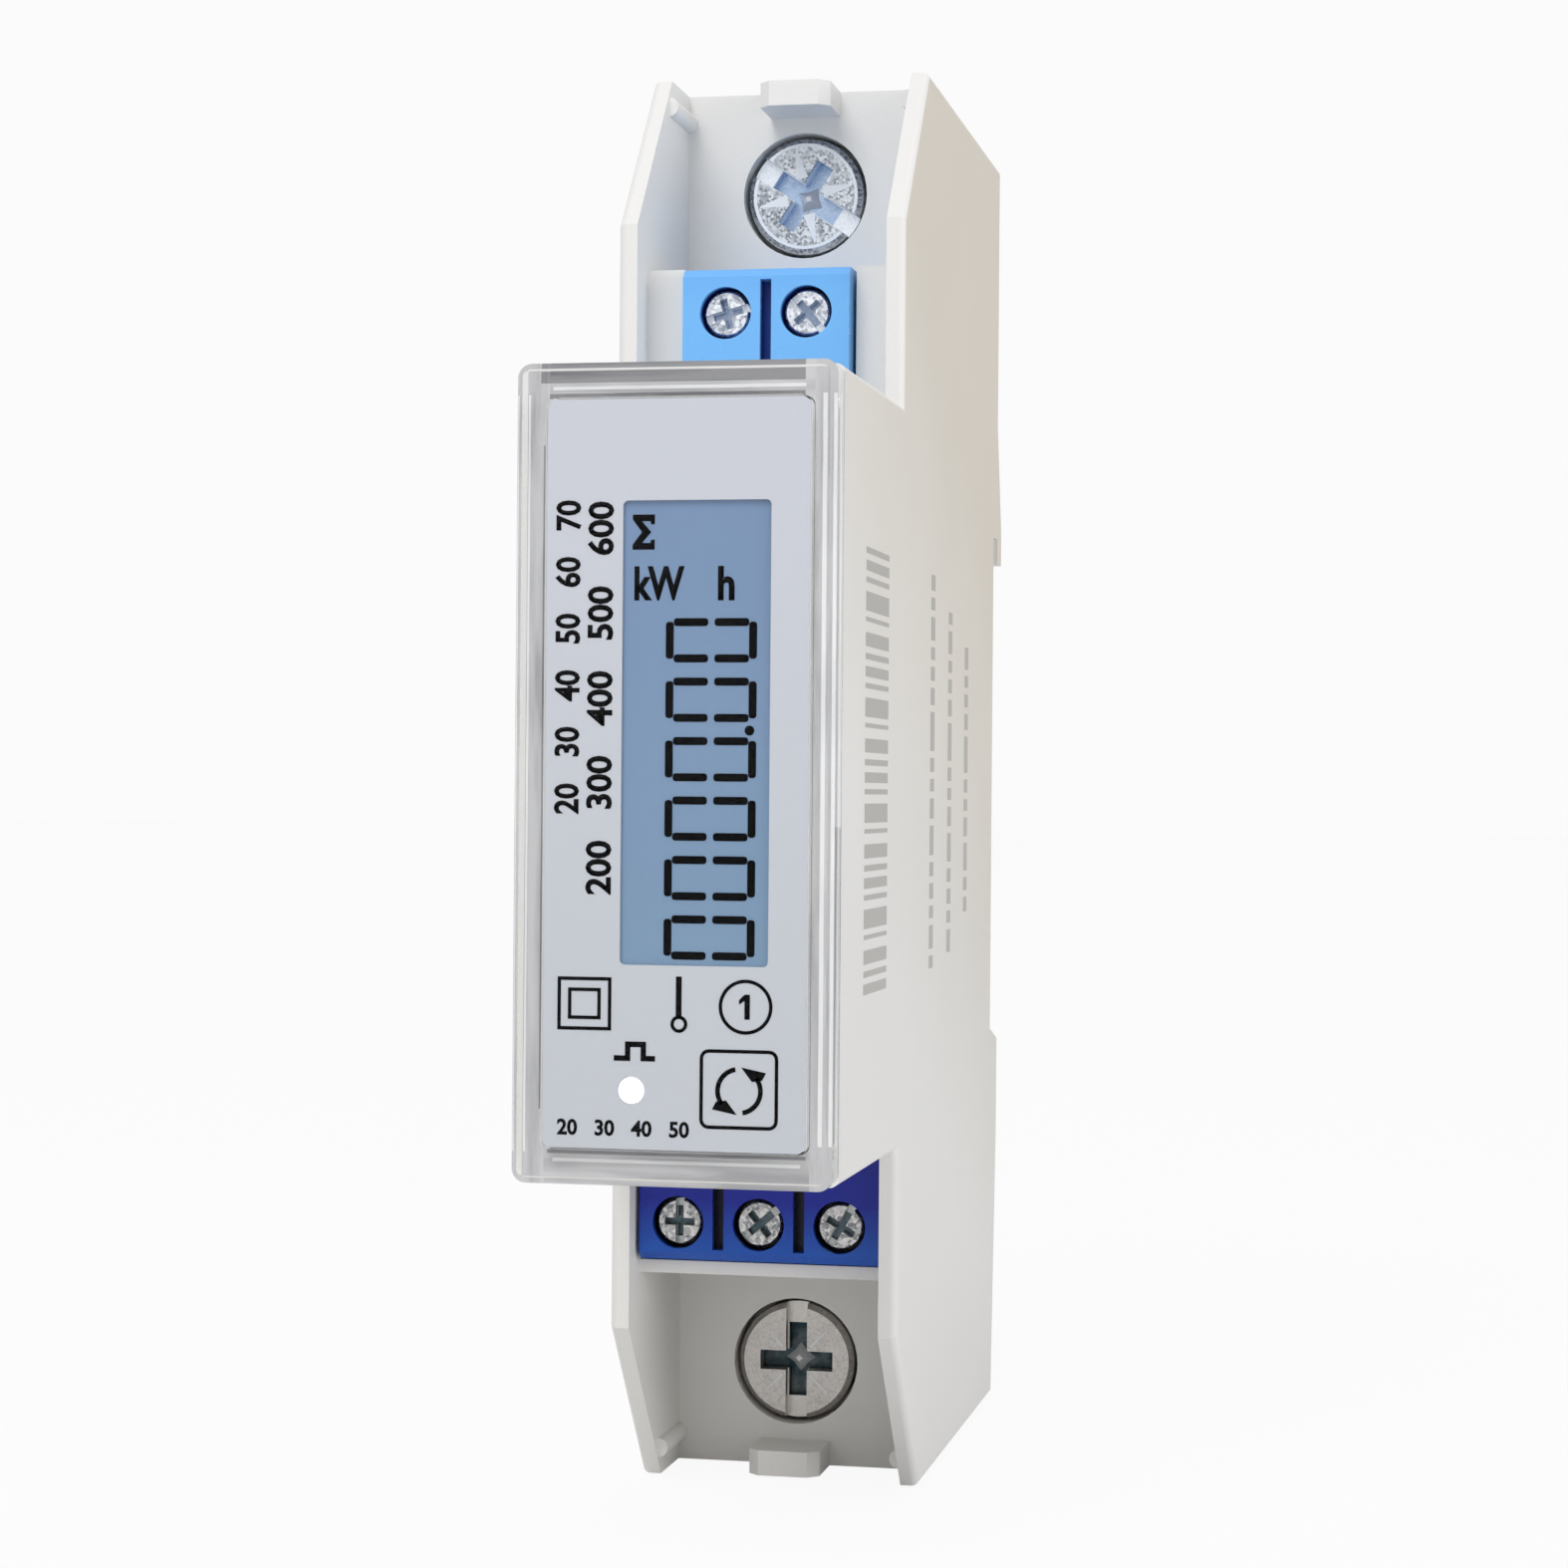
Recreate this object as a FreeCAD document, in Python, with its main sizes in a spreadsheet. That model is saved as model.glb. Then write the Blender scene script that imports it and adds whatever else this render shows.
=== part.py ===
"""One-module DIN rail energy meter, as a parametric document.

X runs across the 18 mm width, Y from the front of the nose back to the rail, and Z up.
The origin is the middle of the face that seats on the rail.
"""
import FreeCAD, Part
import os
from types import SimpleNamespace

import Sketcher

Vector = FreeCAD.Vector

# Driving dimensions in millimetres: cell name, value, meaning
DIMENSIONS = [
    ("width", 18.0, "overall width, one module"),
    ("height", 89.6, "overall height"),
    ("nose_height", 45.2, "height of the nose"),
    ("seat_depth", 62.7, "nose front to rail seat"),
    ("wall", 1.2, "housing wall"),
    ("back_wall", 2.3, "wall behind the rail seat"),
    ("partition", 1.0, "wall between the main space and a terminal chamber"),
    ("cover_depth", 2.3, "depth of the clear cover"),
    ("plate_setback", 22.5, "nose front to the front edge of the side plates"),
    ("slant_setback", 31.4, "nose front to the end corner of the side plates"),
    ("slant_start", 34.1, "height where the plate front edge starts to slant"),
    ("floor_setback", 36.4, "nose front to the floor of the terminal recess"),
    ("back_depth", 2.3, "rail seat to the back edge at the ends"),
    ("lip_depth", 4.1, "rail seat to the back of the rail lips"),
    ("lip_top", 20.0, "height where the hook lip reaches full depth"),
    ("lip_start", 26.0, "height where the back edge leaves the straight part"),
    ("edge_round", 0.5, "rounding of the plate edges"),
    ("rail_height", 35.0, "height of the rail"),
    ("rail_play", 0.2, "free height above the rail"),
    ("hook_reach", 1.8, "height of the slot behind the hook lip"),
    ("hook_gap", 1.9, "depth of the slot behind the hook lip"),
    ("notch_play", 0.45, "free height under the rail"),
    ("notch_flare", 1.05, "fall of the lower edge of the rail slot"),
    ("step_setback", 25.4, "nose front to the step beside the upper block"),
    ("shelf_gap", 0.2, "lower block to the shelf under it"),
    ("shelf_thick", 0.8, "thickness of the shelf under the lower block"),
    ("shelf_window", 3.0, "windows for the wires in the shelf, square"),
    ("tab_width", 4.6, "width of the cover hook at each end"),
    ("tab_thick", 1.6, "thickness of the cover hook"),
    ("tab_reach", 4.2, "reach of the cover hook from the floor"),
    ("tab_corner", 0.7, "corner cut of the cover hook"),
    ("rib_radius", 0.6, "radius of the guide rib"),
    ("rib_inset", 1.8, "end of the housing to the guide rib"),
    ("rib_reach", 5.8, "reach of the guide rib from the floor"),
    ("screw_inset", 6.7, "end of the housing to the axis of a main screw"),
    ("access_radius", 4.1, "radius of the screwdriver opening"),
    ("boss_wall", 1.2, "wall of the tube round the screw head"),
    ("head_radius", 3.8, "main screw head radius"),
    ("head_recess", 0.2, "floor to the main screw head"),
    ("head_thick", 2.95, "main screw head thickness"),
    ("screw_radius", 2.5, "main screw shank radius"),
    ("main_bevel", 0.32, "bevel of the main screw head"),
    ("main_slot", 1.4, "width of the main screw slot"),
    ("main_slot_deep", 0.8, "depth of the main screw slot"),
    ("main_cross", 4.8, "span of the main screw cross"),
    ("main_cross_wide", 1.26, "width of the arms of the main screw cross"),
    ("main_cross_deep", 1.7, "depth of the main screw cross"),
    ("ledge", 0.8, "ledge that keeps a screw head in place"),
    ("running", 0.08, "running clearance on a screw shank"),
    ("slip", 0.05, "slip clearance"),
    ("play", 0.2, "play between moving pieces"),
    ("main_travel", 7.0, "travel of a main terminal cage"),
    ("main_plate", 2.0, "threaded plate of a main cage"),
    ("main_side", 1.2, "side of a main cage"),
    ("main_base", 1.4, "base of a main cage"),
    ("main_length", 9.0, "length of a main cage along the cable"),
    ("main_inside", 8.4, "inside width of a main cage"),
    ("cage_bevel", 0.6, "bevel of the outer corners of a main cage"),
    ("ridge_high", 0.15, "height of the grip ridges in a main cage"),
    ("ridge_wide", 0.4, "width of the grip ridges"),
    ("ridge_pitch", 2.25, "pitch of the grip ridges"),
    ("cable_radius", 3.45, "radius of a main cable entry"),
    ("bar_thick", 1.8, "busbar thickness"),
    ("bar_width", 7.6, "busbar width"),
    ("bar_neck", 6.4, "busbar width between the terminals"),
    ("shunt_thick", 1.2, "shunt thickness"),
    ("shunt_length", 16.0, "shunt length"),
    ("shunt_waist", 4.5, "width of the waist of the shunt"),
    ("waist_length", 6.4, "length of the waist of the shunt"),
    ("waist_taper", 0.8, "length of the taper at each end of the waist"),
    ("sense_wire", 0.6, "sense lead, square"),
    ("bar_edge", 2.4, "chamber end to the busbar end"),
    ("block_setback", 24.0, "nose front to the front of the signal blocks"),
    ("block_gap", 0.2, "gap between a signal block and the nose"),
    ("upper_block_tall", 8.65, "height of the upper signal block"),
    ("lower_block_tall", 7.2, "height of the lower signal block"),
    ("upper_screw_rise", 5.9, "inner face of the upper block to its screws"),
    ("lower_screw_rise", 4.85, "inner face of the lower block to its screws"),
    ("pole_pitch", 5.08, "pitch of the signal poles"),
    ("block_margin", 0.17, "block end beyond the outer poles"),
    ("block_side_gap", 0.25, "gap between the lower block and the side plates"),
    ("block_wall", 0.75, "outer wall of a signal block"),
    ("block_slot", 0.7, "width of the slot between poles"),
    ("block_slot_deep", 1.2, "depth of the slot between poles"),
    ("signal_hole", 1.62, "radius of a signal screw opening"),
    ("signal_head", 1.42, "signal screw head radius"),
    ("signal_recess", 0.5, "block front to the signal screw head"),
    ("signal_head_thick", 1.6, "signal screw head thickness"),
    ("signal_shank", 1.25, "signal screw shank radius"),
    ("signal_bevel", 0.12, "bevel of the signal screw head"),
    ("signal_slot", 0.5, "width of the signal screw slot"),
    ("signal_slot_deep", 0.5, "depth of the signal screw slot"),
    ("signal_cross", 1.9, "span of the signal screw cross"),
    ("signal_cross_wide", 0.45, "width of the arms of the signal screw cross"),
    ("signal_cross_deep", 0.9, "depth of the signal screw cross"),
    ("signal_ledge", 0.6, "ledge that keeps a signal screw head in place"),
    ("signal_travel", 2.2, "travel of a signal cage"),
    ("signal_plate", 1.4, "threaded plate of a signal cage"),
    ("signal_side", 0.45, "side and base of a signal cage"),
    ("signal_inside", 2.9, "inside width of a signal cage"),
    ("wire_radius", 1.15, "radius of a signal wire entry"),
    ("contact_thick", 0.6, "signal contact thickness"),
    ("contact_width", 2.2, "signal contact width"),
    ("pin_size", 0.8, "signal contact pin, square"),
    ("pin_inset", 1.3, "block inner face to the contact pin"),
    ("pin_reach", 0.6, "reach of a contact pin beyond the terminal board"),
    ("pin_play", 0.1, "gap round a contact pin"),
    ("cover_front", 1.1, "thickness of the cover front"),
    ("cover_side", 1.5, "side frame of the cover"),
    ("cover_end", 1.85, "end frame of the cover"),
    ("cover_corner", 0.8, "corner radius of the cover"),
    ("cover_inner_corner", 0.6, "corner radius inside the cover"),
    ("cover_edge", 0.35, "front edge bevel of the cover"),
    ("tongue_width", 6.0, "width of the cover tongues"),
    ("tongue_thick", 0.5, "thickness of the cover tongues"),
    ("front_gap", 0.1, "gap round the label and its carrier"),
    ("label_thick", 0.2, "label thickness"),
    ("carrier_thick", 1.0, "carrier plate thickness"),
    ("carrier_rail", 0.8, "carrier side rail thickness"),
    ("display_left", 4.305, "left edge of the label to the display window"),
    ("display_right", 2.145, "right edge of the label to the display window"),
    ("display_above", 5.605, "upper edge of the label to the display window"),
    ("display_below", 10.145, "lower edge of the label to the display window"),
    ("glass_margin", 0.7, "display glass beyond its window"),
    ("glass_thick", 1.6, "display glass thickness"),
    ("glass_gap", 0.05, "gap in front of and behind the display glass"),
    ("window_corner", 0.3, "corner radius of the display window"),
    ("light_thick", 0.9, "backlight thickness"),
    ("light_margin", 0.3, "backlight edge inside the glass edge"),
    ("led_left", 5.03, "left edge of the label to the pulse light"),
    ("led_below", 3.24, "lower edge of the label to the pulse light"),
    ("pipe_radius", 0.74, "light pipe radius"),
    ("pipe_flange", 2.4, "light pipe flange, square"),
    ("led_size", 1.6, "pulse light body, square"),
    ("led_thick", 0.6, "pulse light body thickness"),
    ("key_right", 3.72, "right edge of the label to the touch key"),
    ("key_below", 3.43, "lower edge of the label to the touch key"),
    ("key_size", 3.8, "touch pad, square"),
    ("board_thick", 1.0, "display board thickness"),
    ("display_board_half", 6.4, "half width of the display board"),
    ("display_board_inset", 1.0, "nose wall to the display board edge"),
    ("stop_thick", 0.8, "thickness of the board stops in the nose"),
    ("stop_reach", 1.2, "reach of the board stops from the nose wall"),
    ("main_board_thick", 1.6, "main board thickness"),
    ("main_board_gap", 0.6, "left plate to the main board"),
    ("main_board_inset", 1.2, "nose wall to the main board edge"),
    ("main_board_front", 7.3, "nose front to the main board"),
    ("main_board_back", 1.7, "main board to the busbars"),
    ("ear_gap", 0.7, "floor to the main board ears"),
    ("ear_end", 1.0, "partition to the main board ears"),
    ("post_size", 2.4, "main board posts, square"),
    ("small_board_thick", 1.6, "terminal board thickness"),
    ("small_board_gap", 1.7, "floor to the terminal boards"),
    ("small_board_end", 0.4, "edge gap of the terminal boards"),
    ("chip_thick", 1.5, "thickness of a chip"),
    ("chip_lift", 0.1, "main board to the underside of a chip"),
    ("lead_wide", 0.4, "width of a chip lead"),
    ("lead_thick", 0.3, "thickness of a chip lead"),
    ("lead_reach", 1.0, "reach of a chip lead from the chip"),
    ("metering_wide", 4.0, "metering chip width"),
    ("metering_tall", 10.0, "metering chip length"),
    ("metering_pitch", 1.27, "pitch of the metering chip leads"),
    ("controller_size", 7.0, "controller chip, square"),
    ("controller_pitch", 0.8, "pitch of the controller chip leads"),
    ("film_wide", 13.0, "film capacitor length"),
    ("film_tall", 5.0, "film capacitor thickness"),
    ("lid_gap", 2.4, "side lid to the tall components"),
    ("coupler_wide", 4.6, "optocoupler width"),
    ("coupler_tall", 6.4, "optocoupler length"),
    ("coupler_high", 3.2, "optocoupler height over the board"),
    ("can_radius", 4.0, "bulk capacitor radius"),
    ("disc_radius", 4.0, "varistor radius"),
    ("disc_thick", 3.0, "varistor thickness"),
    ("disc_lift", 1.5, "main board to the varistor"),
    ("disc_pitch", 5.0, "spacing of the varistor leads"),
    ("fuse_radius", 1.5, "fuse resistor radius"),
    ("fuse_length", 8.0, "fuse resistor length"),
    ("fuse_lift", 3.0, "main board to the axis of the fuse resistor"),
    ("fuse_pitch", 11.0, "spacing of the fuse resistor legs"),
    ("lead_wire", 0.6, "component lead, square"),
    ("crystal_radius", 1.9, "radius of the crystal ends"),
    ("crystal_pitch", 4.4, "spacing of the centres of the crystal ends"),
    ("crystal_high", 3.5, "crystal height over the board"),
    ("link_length", 8.0, "length of the pin strip"),
    ("link_thick", 2.5, "thickness of the pin strip"),
    ("link_pitch", 2.0, "pitch of the notches of the pin strip"),
    ("link_notch", 0.5, "width and depth of the notches of the pin strip"),
    ("rim_thick", 0.8, "locating rim of the side lid"),
    ("rim_deep", 0.9, "reach of the locating rim"),
    ("rim_gap", 0.1, "gap between the rim and the housing"),
    ("channel_front", 1.2, "rail seat to the front of the clip channel"),
    ("channel_deep", 3.0, "depth of the clip channel"),
    ("channel_wall", 1.1, "wall between a chamber and the clip channel"),
    ("clip_gap", 0.2, "gap round the clip"),
    ("clip_flange", 10.8, "width of the clip flange"),
    ("clip_core", 6.4, "width of the clip core"),
    ("clip_travel", 2.6, "travel of the clip"),
    ("clip_reach", 1.2, "clip nose above the lower edge of the rail"),
    ("clip_nose", 2.1, "thickness of the clip nose"),
    ("clip_shoulder", 19.8, "depth below centre of the clip shoulders"),
    ("clip_foot", 0.2, "lower end of the housing to the clip"),
    ("clip_back", 2.3, "rail seat to the back of the clip stem"),
    ("nose_length", 9.0, "length of the thick part of the clip"),
    ("arm_width", 0.8, "width of a spring arm"),
    ("arm_slot", 0.5, "slot beside a spring arm"),
    ("arm_top", 5.4, "clip shoulder to the free end of a spring arm"),
    ("arm_foot", 5.4, "clip end to the root of a spring arm"),
    ("bump_length", 1.2, "length of the bump on a spring arm"),
    ("bump_reach", 0.4, "reach of the bump on a spring arm"),
    ("tool_slot_wide", 5.0, "width of the screwdriver window"),
    ("tool_slot_tall", 2.0, "height of the screwdriver window"),
    ("tool_slot_inset", 1.3, "clip end to the screwdriver window"),
]

# Middles of the pieces on the main board: depth behind nose front, height, and what it starts from
BOARD_PLACES = {
    "metering_chip": (29.0, 3.0, "middle"),
    "controller_chip": (14.0, 15.9, "upper wall"),
    "film_capacitor": (29.0, 8.4, "lower wall"),
    "optocoupler": (43.0, 6.4, "lower wall"),
    "bulk_capacitor": (15.0, 6.4, "lower wall"),
    "varistor": (32.5, 6.4, "upper wall"),
    "fuse_resistor": (20.0, -3.0, "middle"),
    "crystal": (22.0, 11.4, "upper wall"),
    "board_link": (8.5, 6.4, "upper wall"),
}
for item, (depth, height, start) in BOARD_PLACES.items():
    DIMENSIONS.append((f"{item}_depth", depth, f"nose front to the middle of the {item}"))
    DIMENSIONS.append((f"{item}_height", height, f"{start} of the nose to the middle of the {item}"))

SPREADSHEET = "dims"
NORMAL = {"YZ_Plane": 1, "XZ_Plane": -1, "XY_Plane": 1}


class Size:
    """A length together with the sheet formula that it comes from."""

    def __init__(self, value, text=None):
        self.value = float(value)
        self.text = text or repr(self.value)

    def __add__(self, other):
        other = as_size(other)
        return Size(self.value + other.value, f"({self.text} + {other.text})")

    def __sub__(self, other):
        other = as_size(other)
        return Size(self.value - other.value, f"({self.text} - {other.text})")

    def __mul__(self, number):
        return Size(self.value * number, f"({self.text} * {number})")

    def __truediv__(self, number):
        return Size(self.value / number, f"({self.text} / {number})")

    def __neg__(self):
        return Size(-self.value, f"(0 - {self.text})")


def as_size(item):
    return item if isinstance(item, Size) else Size(item)


# Document and sheet
doc = FreeCAD.newDocument("din_rail_energy_meter")
sheet = doc.addObject("Spreadsheet::Sheet", SPREADSHEET)
for row, (alias, value, meaning) in enumerate(DIMENSIONS, start=1):
    sheet.set(f"A{row}", alias)
    sheet.set(f"B{row}", str(value))
    sheet.set(f"C{row}", meaning)
    sheet.setAlias(f"B{row}", alias)
doc.recompute()
D = SimpleNamespace(**{alias: Size(value, f"{SPREADSHEET}.{alias}") for alias, value, _ in DIMENSIONS})

# Places along the width
half = D.width / 2
inner = half - D.wall

# Places along the height
top = D.height / 2
nose_top = D.nose_height / 2
nose_inside = nose_top - D.wall
rail_half = D.rail_height / 2
slot_top = rail_half + D.rail_play
lip_end = slot_top - D.hook_reach
notch_top = rail_half + D.notch_play
chamber_top = top - D.wall
screw_height = top - D.screw_inset
block_inner = nose_top + D.block_gap
upper_face = block_inner + D.upper_block_tall
lower_face = block_inner + D.lower_block_tall
upper_signal_height = block_inner + D.upper_screw_rise
lower_signal_height = block_inner + D.lower_screw_rise
shelf_top = lower_face + D.shelf_gap
shelf_end = shelf_top + D.shelf_thick
cavity_end = shelf_end + D.play
chamber_start = cavity_end + D.partition
step_top = upper_face + D.play

# Places along the depth, from the nose back
front = -D.seat_depth
rim = front + D.cover_depth
plate_front = front + D.plate_setback
slant_end = front + D.slant_setback
floor = front + D.floor_setback
floor_inside = floor + D.wall
step_front = front + D.step_setback
block_front = front + D.block_setback
cavity_back = -D.back_wall

# Main terminal, along the depth
head_front = floor + D.head_recess
head_back = head_front + D.head_thick
ledge_front = head_back + D.slip
ledge_back = ledge_front + D.ledge
plate_closed = ledge_back + D.play
plate_open = plate_closed + D.main_travel
bar_front = plate_open + D.main_plate + D.play
bar_back = bar_front + D.bar_thick
cage_floor = bar_back + D.main_travel + D.play
cage_back = cage_floor + D.main_base
cable_y = (bar_back + cage_floor) / 2
screw_tip = bar_front - D.slip
boss_radius = D.access_radius + D.boss_wall
cage_half = D.main_inside / 2 + D.main_side

# Signal terminal, along the depth
signal_front = block_front + D.signal_recess
signal_back = signal_front + D.signal_head_thick
signal_ledge_front = signal_back + D.slip
signal_ledge_back = signal_ledge_front + D.signal_ledge
signal_open = signal_ledge_back + D.play + D.signal_travel
contact_front = signal_open + D.signal_plate + D.play
contact_back = contact_front + D.contact_thick
signal_floor = contact_back + D.signal_travel + D.slip
signal_cage_back = signal_floor + D.signal_side
signal_chamber_back = signal_cage_back + D.play
block_back = floor - D.slip
wire_y = (contact_back + signal_floor) / 2
upper_block_half = D.pole_pitch + D.block_margin
lower_block_half = inner - D.block_side_gap
UPPER_POLES = (-0.5, 0.5)
LOWER_POLES = (-1, 0, 1)

# Front stack, along the depth
cover_inside = front + D.cover_front
label_front = cover_inside + D.front_gap
label_back = label_front + D.label_thick
carrier_back = label_back + D.carrier_thick
glass_front = label_back + D.glass_gap
glass_back = glass_front + D.glass_thick
light_front = glass_back + D.glass_gap
light_back = light_front + D.light_thick
board_front = light_back + D.glass_gap
board_back = board_front + D.board_thick
stop_front = board_back + D.slip
label_half = half - D.cover_side - D.front_gap
label_top = nose_top - D.cover_end - D.front_gap
label_corner = D.cover_inner_corner - D.front_gap
display_start, display_stop = -label_half + D.display_left, label_half - D.display_right
display_low, display_high = -label_top + D.display_below, label_top - D.display_above
led_across, led_up = -label_half + D.led_left, -label_top + D.led_below
key_across, key_up = label_half - D.key_right, -label_top + D.key_below

# Main board and its neighbours
main_board_left = -inner + D.main_board_gap
main_board_right = main_board_left + D.main_board_thick
main_board_front = front + D.main_board_front
main_board_back = bar_front - D.main_board_back
main_board_top = nose_inside - D.main_board_inset
ear_front = floor_inside + D.ear_gap
ear_top = cavity_end - D.ear_end
small_board_front = floor_inside + D.small_board_gap
small_board_back = small_board_front + D.small_board_thick
pin_tip = small_board_back + D.pin_reach

# Clip
channel_front = -D.channel_front
channel_back = channel_front + D.channel_deep
flange_half = D.clip_flange / 2
core_half = D.clip_core / 2
clip_front = channel_front + D.clip_gap
clip_middle = channel_back - D.clip_gap
shoulder = -D.clip_shoulder
clip_end = -top + D.clip_foot
nose_tip = -rail_half + D.clip_reach
nose_front_face = D.hook_gap - D.clip_gap
nose_back_face = nose_front_face + D.clip_nose


# Builders
def bind(thing, path, size):
    """Ties one size of an object to the sheet."""
    thing.setExpression(path, as_size(size).text)


def origin_feature(body, role):
    """Finds one origin plane or axis of a body."""
    return next(item for item in body.Origin.OriginFeatures if item.Role == role)


def new_body(label):
    body = doc.addObject("PartDesign::Body", label)
    body.Label = label
    return body


def new_sketch(body, plane, place):
    """Makes a sketch on an origin plane, moved to a place along the plane's own axis."""
    sketch = body.newObject("Sketcher::SketchObject", body.Name + "_sketch")
    sketch.AttachmentSupport = (origin_feature(body, plane), [""])
    sketch.MapMode = "FlatFace"
    place = as_size(place)
    bind(sketch, "AttachmentOffset.Base.z", place if NORMAL[plane] > 0 else -place)
    return sketch


def fix_point(sketch, geometry, point, across, up):
    """Ties one sketch point to the sheet by its two distances from the origin."""
    for kind, size in (("DistanceX", as_size(across)), ("DistanceY", as_size(up))):
        index = sketch.addConstraint(Sketcher.Constraint(kind, -1, 1, geometry, point, size.value))
        sketch.setExpression(f"Constraints[{index}]", size.text)


def add_outline(sketch, points):
    """Draws a closed outline of straight lines."""
    first = sketch.GeometryCount
    count = len(points)
    places = [Vector(as_size(a).value, as_size(b).value, 0) for a, b in points]
    for index in range(count):
        sketch.addGeometry(Part.LineSegment(places[index], places[(index + 1) % count]), False)
    for index in range(count):
        following = first + (index + 1) % count
        sketch.addConstraint(Sketcher.Constraint("Coincident", first + index, 2, following, 1))
    for index, (across, up) in enumerate(points):
        fix_point(sketch, first + index, 1, across, up)


def add_circle(sketch, across, up, radius):
    """Draws a circle."""
    radius = as_size(radius)
    centre = Vector(as_size(across).value, as_size(up).value, 0)
    index = sketch.addGeometry(Part.Circle(centre, Vector(0, 0, 1), radius.value), False)
    fix_point(sketch, index, 3, across, up)
    limit = sketch.addConstraint(Sketcher.Constraint("Radius", index, radius.value))
    sketch.setExpression(f"Constraints[{limit}]", radius.text)


def rectangle(left, right, low, high):
    return [(left, low), (right, low), (right, high), (left, high)]


def draw(body, plane, place, outlines, circles):
    sketch = new_sketch(body, plane, place)
    for outline in outlines:
        add_outline(sketch, outline)
    for circle in circles:
        add_circle(sketch, *circle)
    return sketch


def pad(body, plane, start, end, outlines=(), circles=()):
    """Adds material between two places along the plane's axis."""
    feature = body.newObject("PartDesign::Pad", body.Name + "_pad")
    feature.Profile = draw(body, plane, start, outlines, circles)
    bind(feature, "Length", as_size(end) - start)
    feature.Reversed = NORMAL[plane] < 0
    doc.recompute()
    return feature


def pocket(body, plane, start, end, outlines=(), circles=()):
    """Cuts between two places along the plane's axis, and makes sure that something was cut."""
    before = body.Shape.Volume
    feature = body.newObject("PartDesign::Pocket", body.Name + "_pocket")
    feature.Profile = draw(body, plane, start, outlines, circles)
    bind(feature, "Length", as_size(end) - start)
    feature.Reversed = NORMAL[plane] > 0
    doc.recompute()
    if body.Shape.Volume >= before:
        raise RuntimeError(f"{feature.Name} of {body.Label} cuts nothing")
    return feature


def dress(body, kind, size, wanted):
    """Rounds or bevels the edges of the tip that a test picks."""
    base = body.Tip
    names = [f"Edge{index}" for index, edge in enumerate(base.Shape.Edges, start=1) if wanted(edge)]
    if not names:
        raise RuntimeError(f"no edge to dress on {body.Label}")
    feature = body.newObject(f"PartDesign::{kind}", body.Name + "_" + kind.lower())
    feature.Base = (base, names)
    bind(feature, "Radius" if kind == "Fillet" else "Size", size)
    doc.recompute()
    return feature


def near(value, size, slack=1e-4):
    return abs(value - as_size(size).value) < slack


def flat_at_x(edge, size):
    """Whether an edge lies in the plane across the width at this place."""
    return near(edge.BoundBox.XMin, size) and near(edge.BoundBox.XMax, size)


def box(name, across, depth, up):
    """A plain block between three pairs of places."""
    block = doc.addObject("Part::Box", name)
    for side, path, (low, high) in zip(("Length", "Width", "Height"), "xyz", (across, depth, up)):
        bind(block, side, as_size(high) - low)
        bind(block, f"Placement.Base.{path}", low)
    return block


def rod(name, axis, centre, start, end, radius):
    """A round bar along one axis: x, y or z. The centre gives the other two places."""
    bar = doc.addObject("Part::Cylinder", name)
    bind(bar, "Radius", radius)
    bind(bar, "Height", as_size(end) - start)
    turns = {"x": (Vector(0, 1, 0), 90), "y": (Vector(1, 0, 0), -90), "z": (Vector(0, 0, 1), 0)}
    bar.Placement = FreeCAD.Placement(Vector(0, 0, 0), FreeCAD.Rotation(*turns[axis]))
    others = [letter for letter in "xyz" if letter != axis]
    bind(bar, f"Placement.Base.{axis}", start)
    for letter, size in zip(others, centre):
        bind(bar, f"Placement.Base.{letter}", size)
    return bar


def joined(label, pieces):
    """Fuses pieces into one sub-part."""
    union = doc.addObject("Part::MultiFuse", label)
    union.Shapes = pieces
    union.Label = label
    return union


def without(label, base, tool):
    """Takes one solid out of another."""
    cut = doc.addObject("Part::Cut", label)
    cut.Base = base
    cut.Tool = tool
    cut.Label = label
    return cut


def pair(size):
    """The two places at equal distances from the middle."""
    return -as_size(size), as_size(size)


# Housing
def side_outline():
    """The outline of a side plate, seen from the side: depth and height."""
    return [
        (rim, nose_top),
        (plate_front, nose_top),
        (plate_front, D.slant_start),
        (slant_end, top),
        (D.back_depth, top),
        (D.back_depth, D.lip_start),
        (D.lip_depth, D.lip_top),
        (D.lip_depth, lip_end),
        (D.hook_gap, lip_end),
        (D.hook_gap, slot_top),
        (Size(0), slot_top),
        (Size(0), -notch_top),
        (D.lip_depth, -notch_top - D.notch_flare),
        (D.lip_depth, -D.lip_start),
        (D.back_depth, -top),
        (slant_end, -top),
        (plate_front, -D.slant_start),
        (plate_front, -nose_top),
        (rim, -nose_top),
    ]


def core_outline():
    """The outline of the housing between the plates: the recesses are open."""
    outline = side_outline()
    return [(rim, nose_top), (floor, nose_top), (floor, top)] + outline[4:15] + [
        (floor, -top),
        (floor, -nose_top),
        (rim, -nose_top),
    ]


def cavity_outline():
    """The main space: the nose and the part behind the floors."""
    return [
        (rim, nose_inside),
        (floor_inside, nose_inside),
        (floor_inside, cavity_end),
        (cavity_back, cavity_end),
        (cavity_back, -cavity_end),
        (floor_inside, -cavity_end),
        (floor_inside, -nose_inside),
        (rim, -nose_inside),
    ]


def long_plate_edge(edge, outside):
    """Whether an edge runs round the outer face of a plate, outside the rail slot and the nose."""
    box_of = edge.BoundBox
    in_slot = box_of.YMax > -0.1 and abs(box_of.Center.z) < D.lip_top.value
    on_nose = box_of.YMax < plate_front.value - 0.1
    return flat_at_x(edge, outside) and not in_slot and not on_nose


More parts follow.
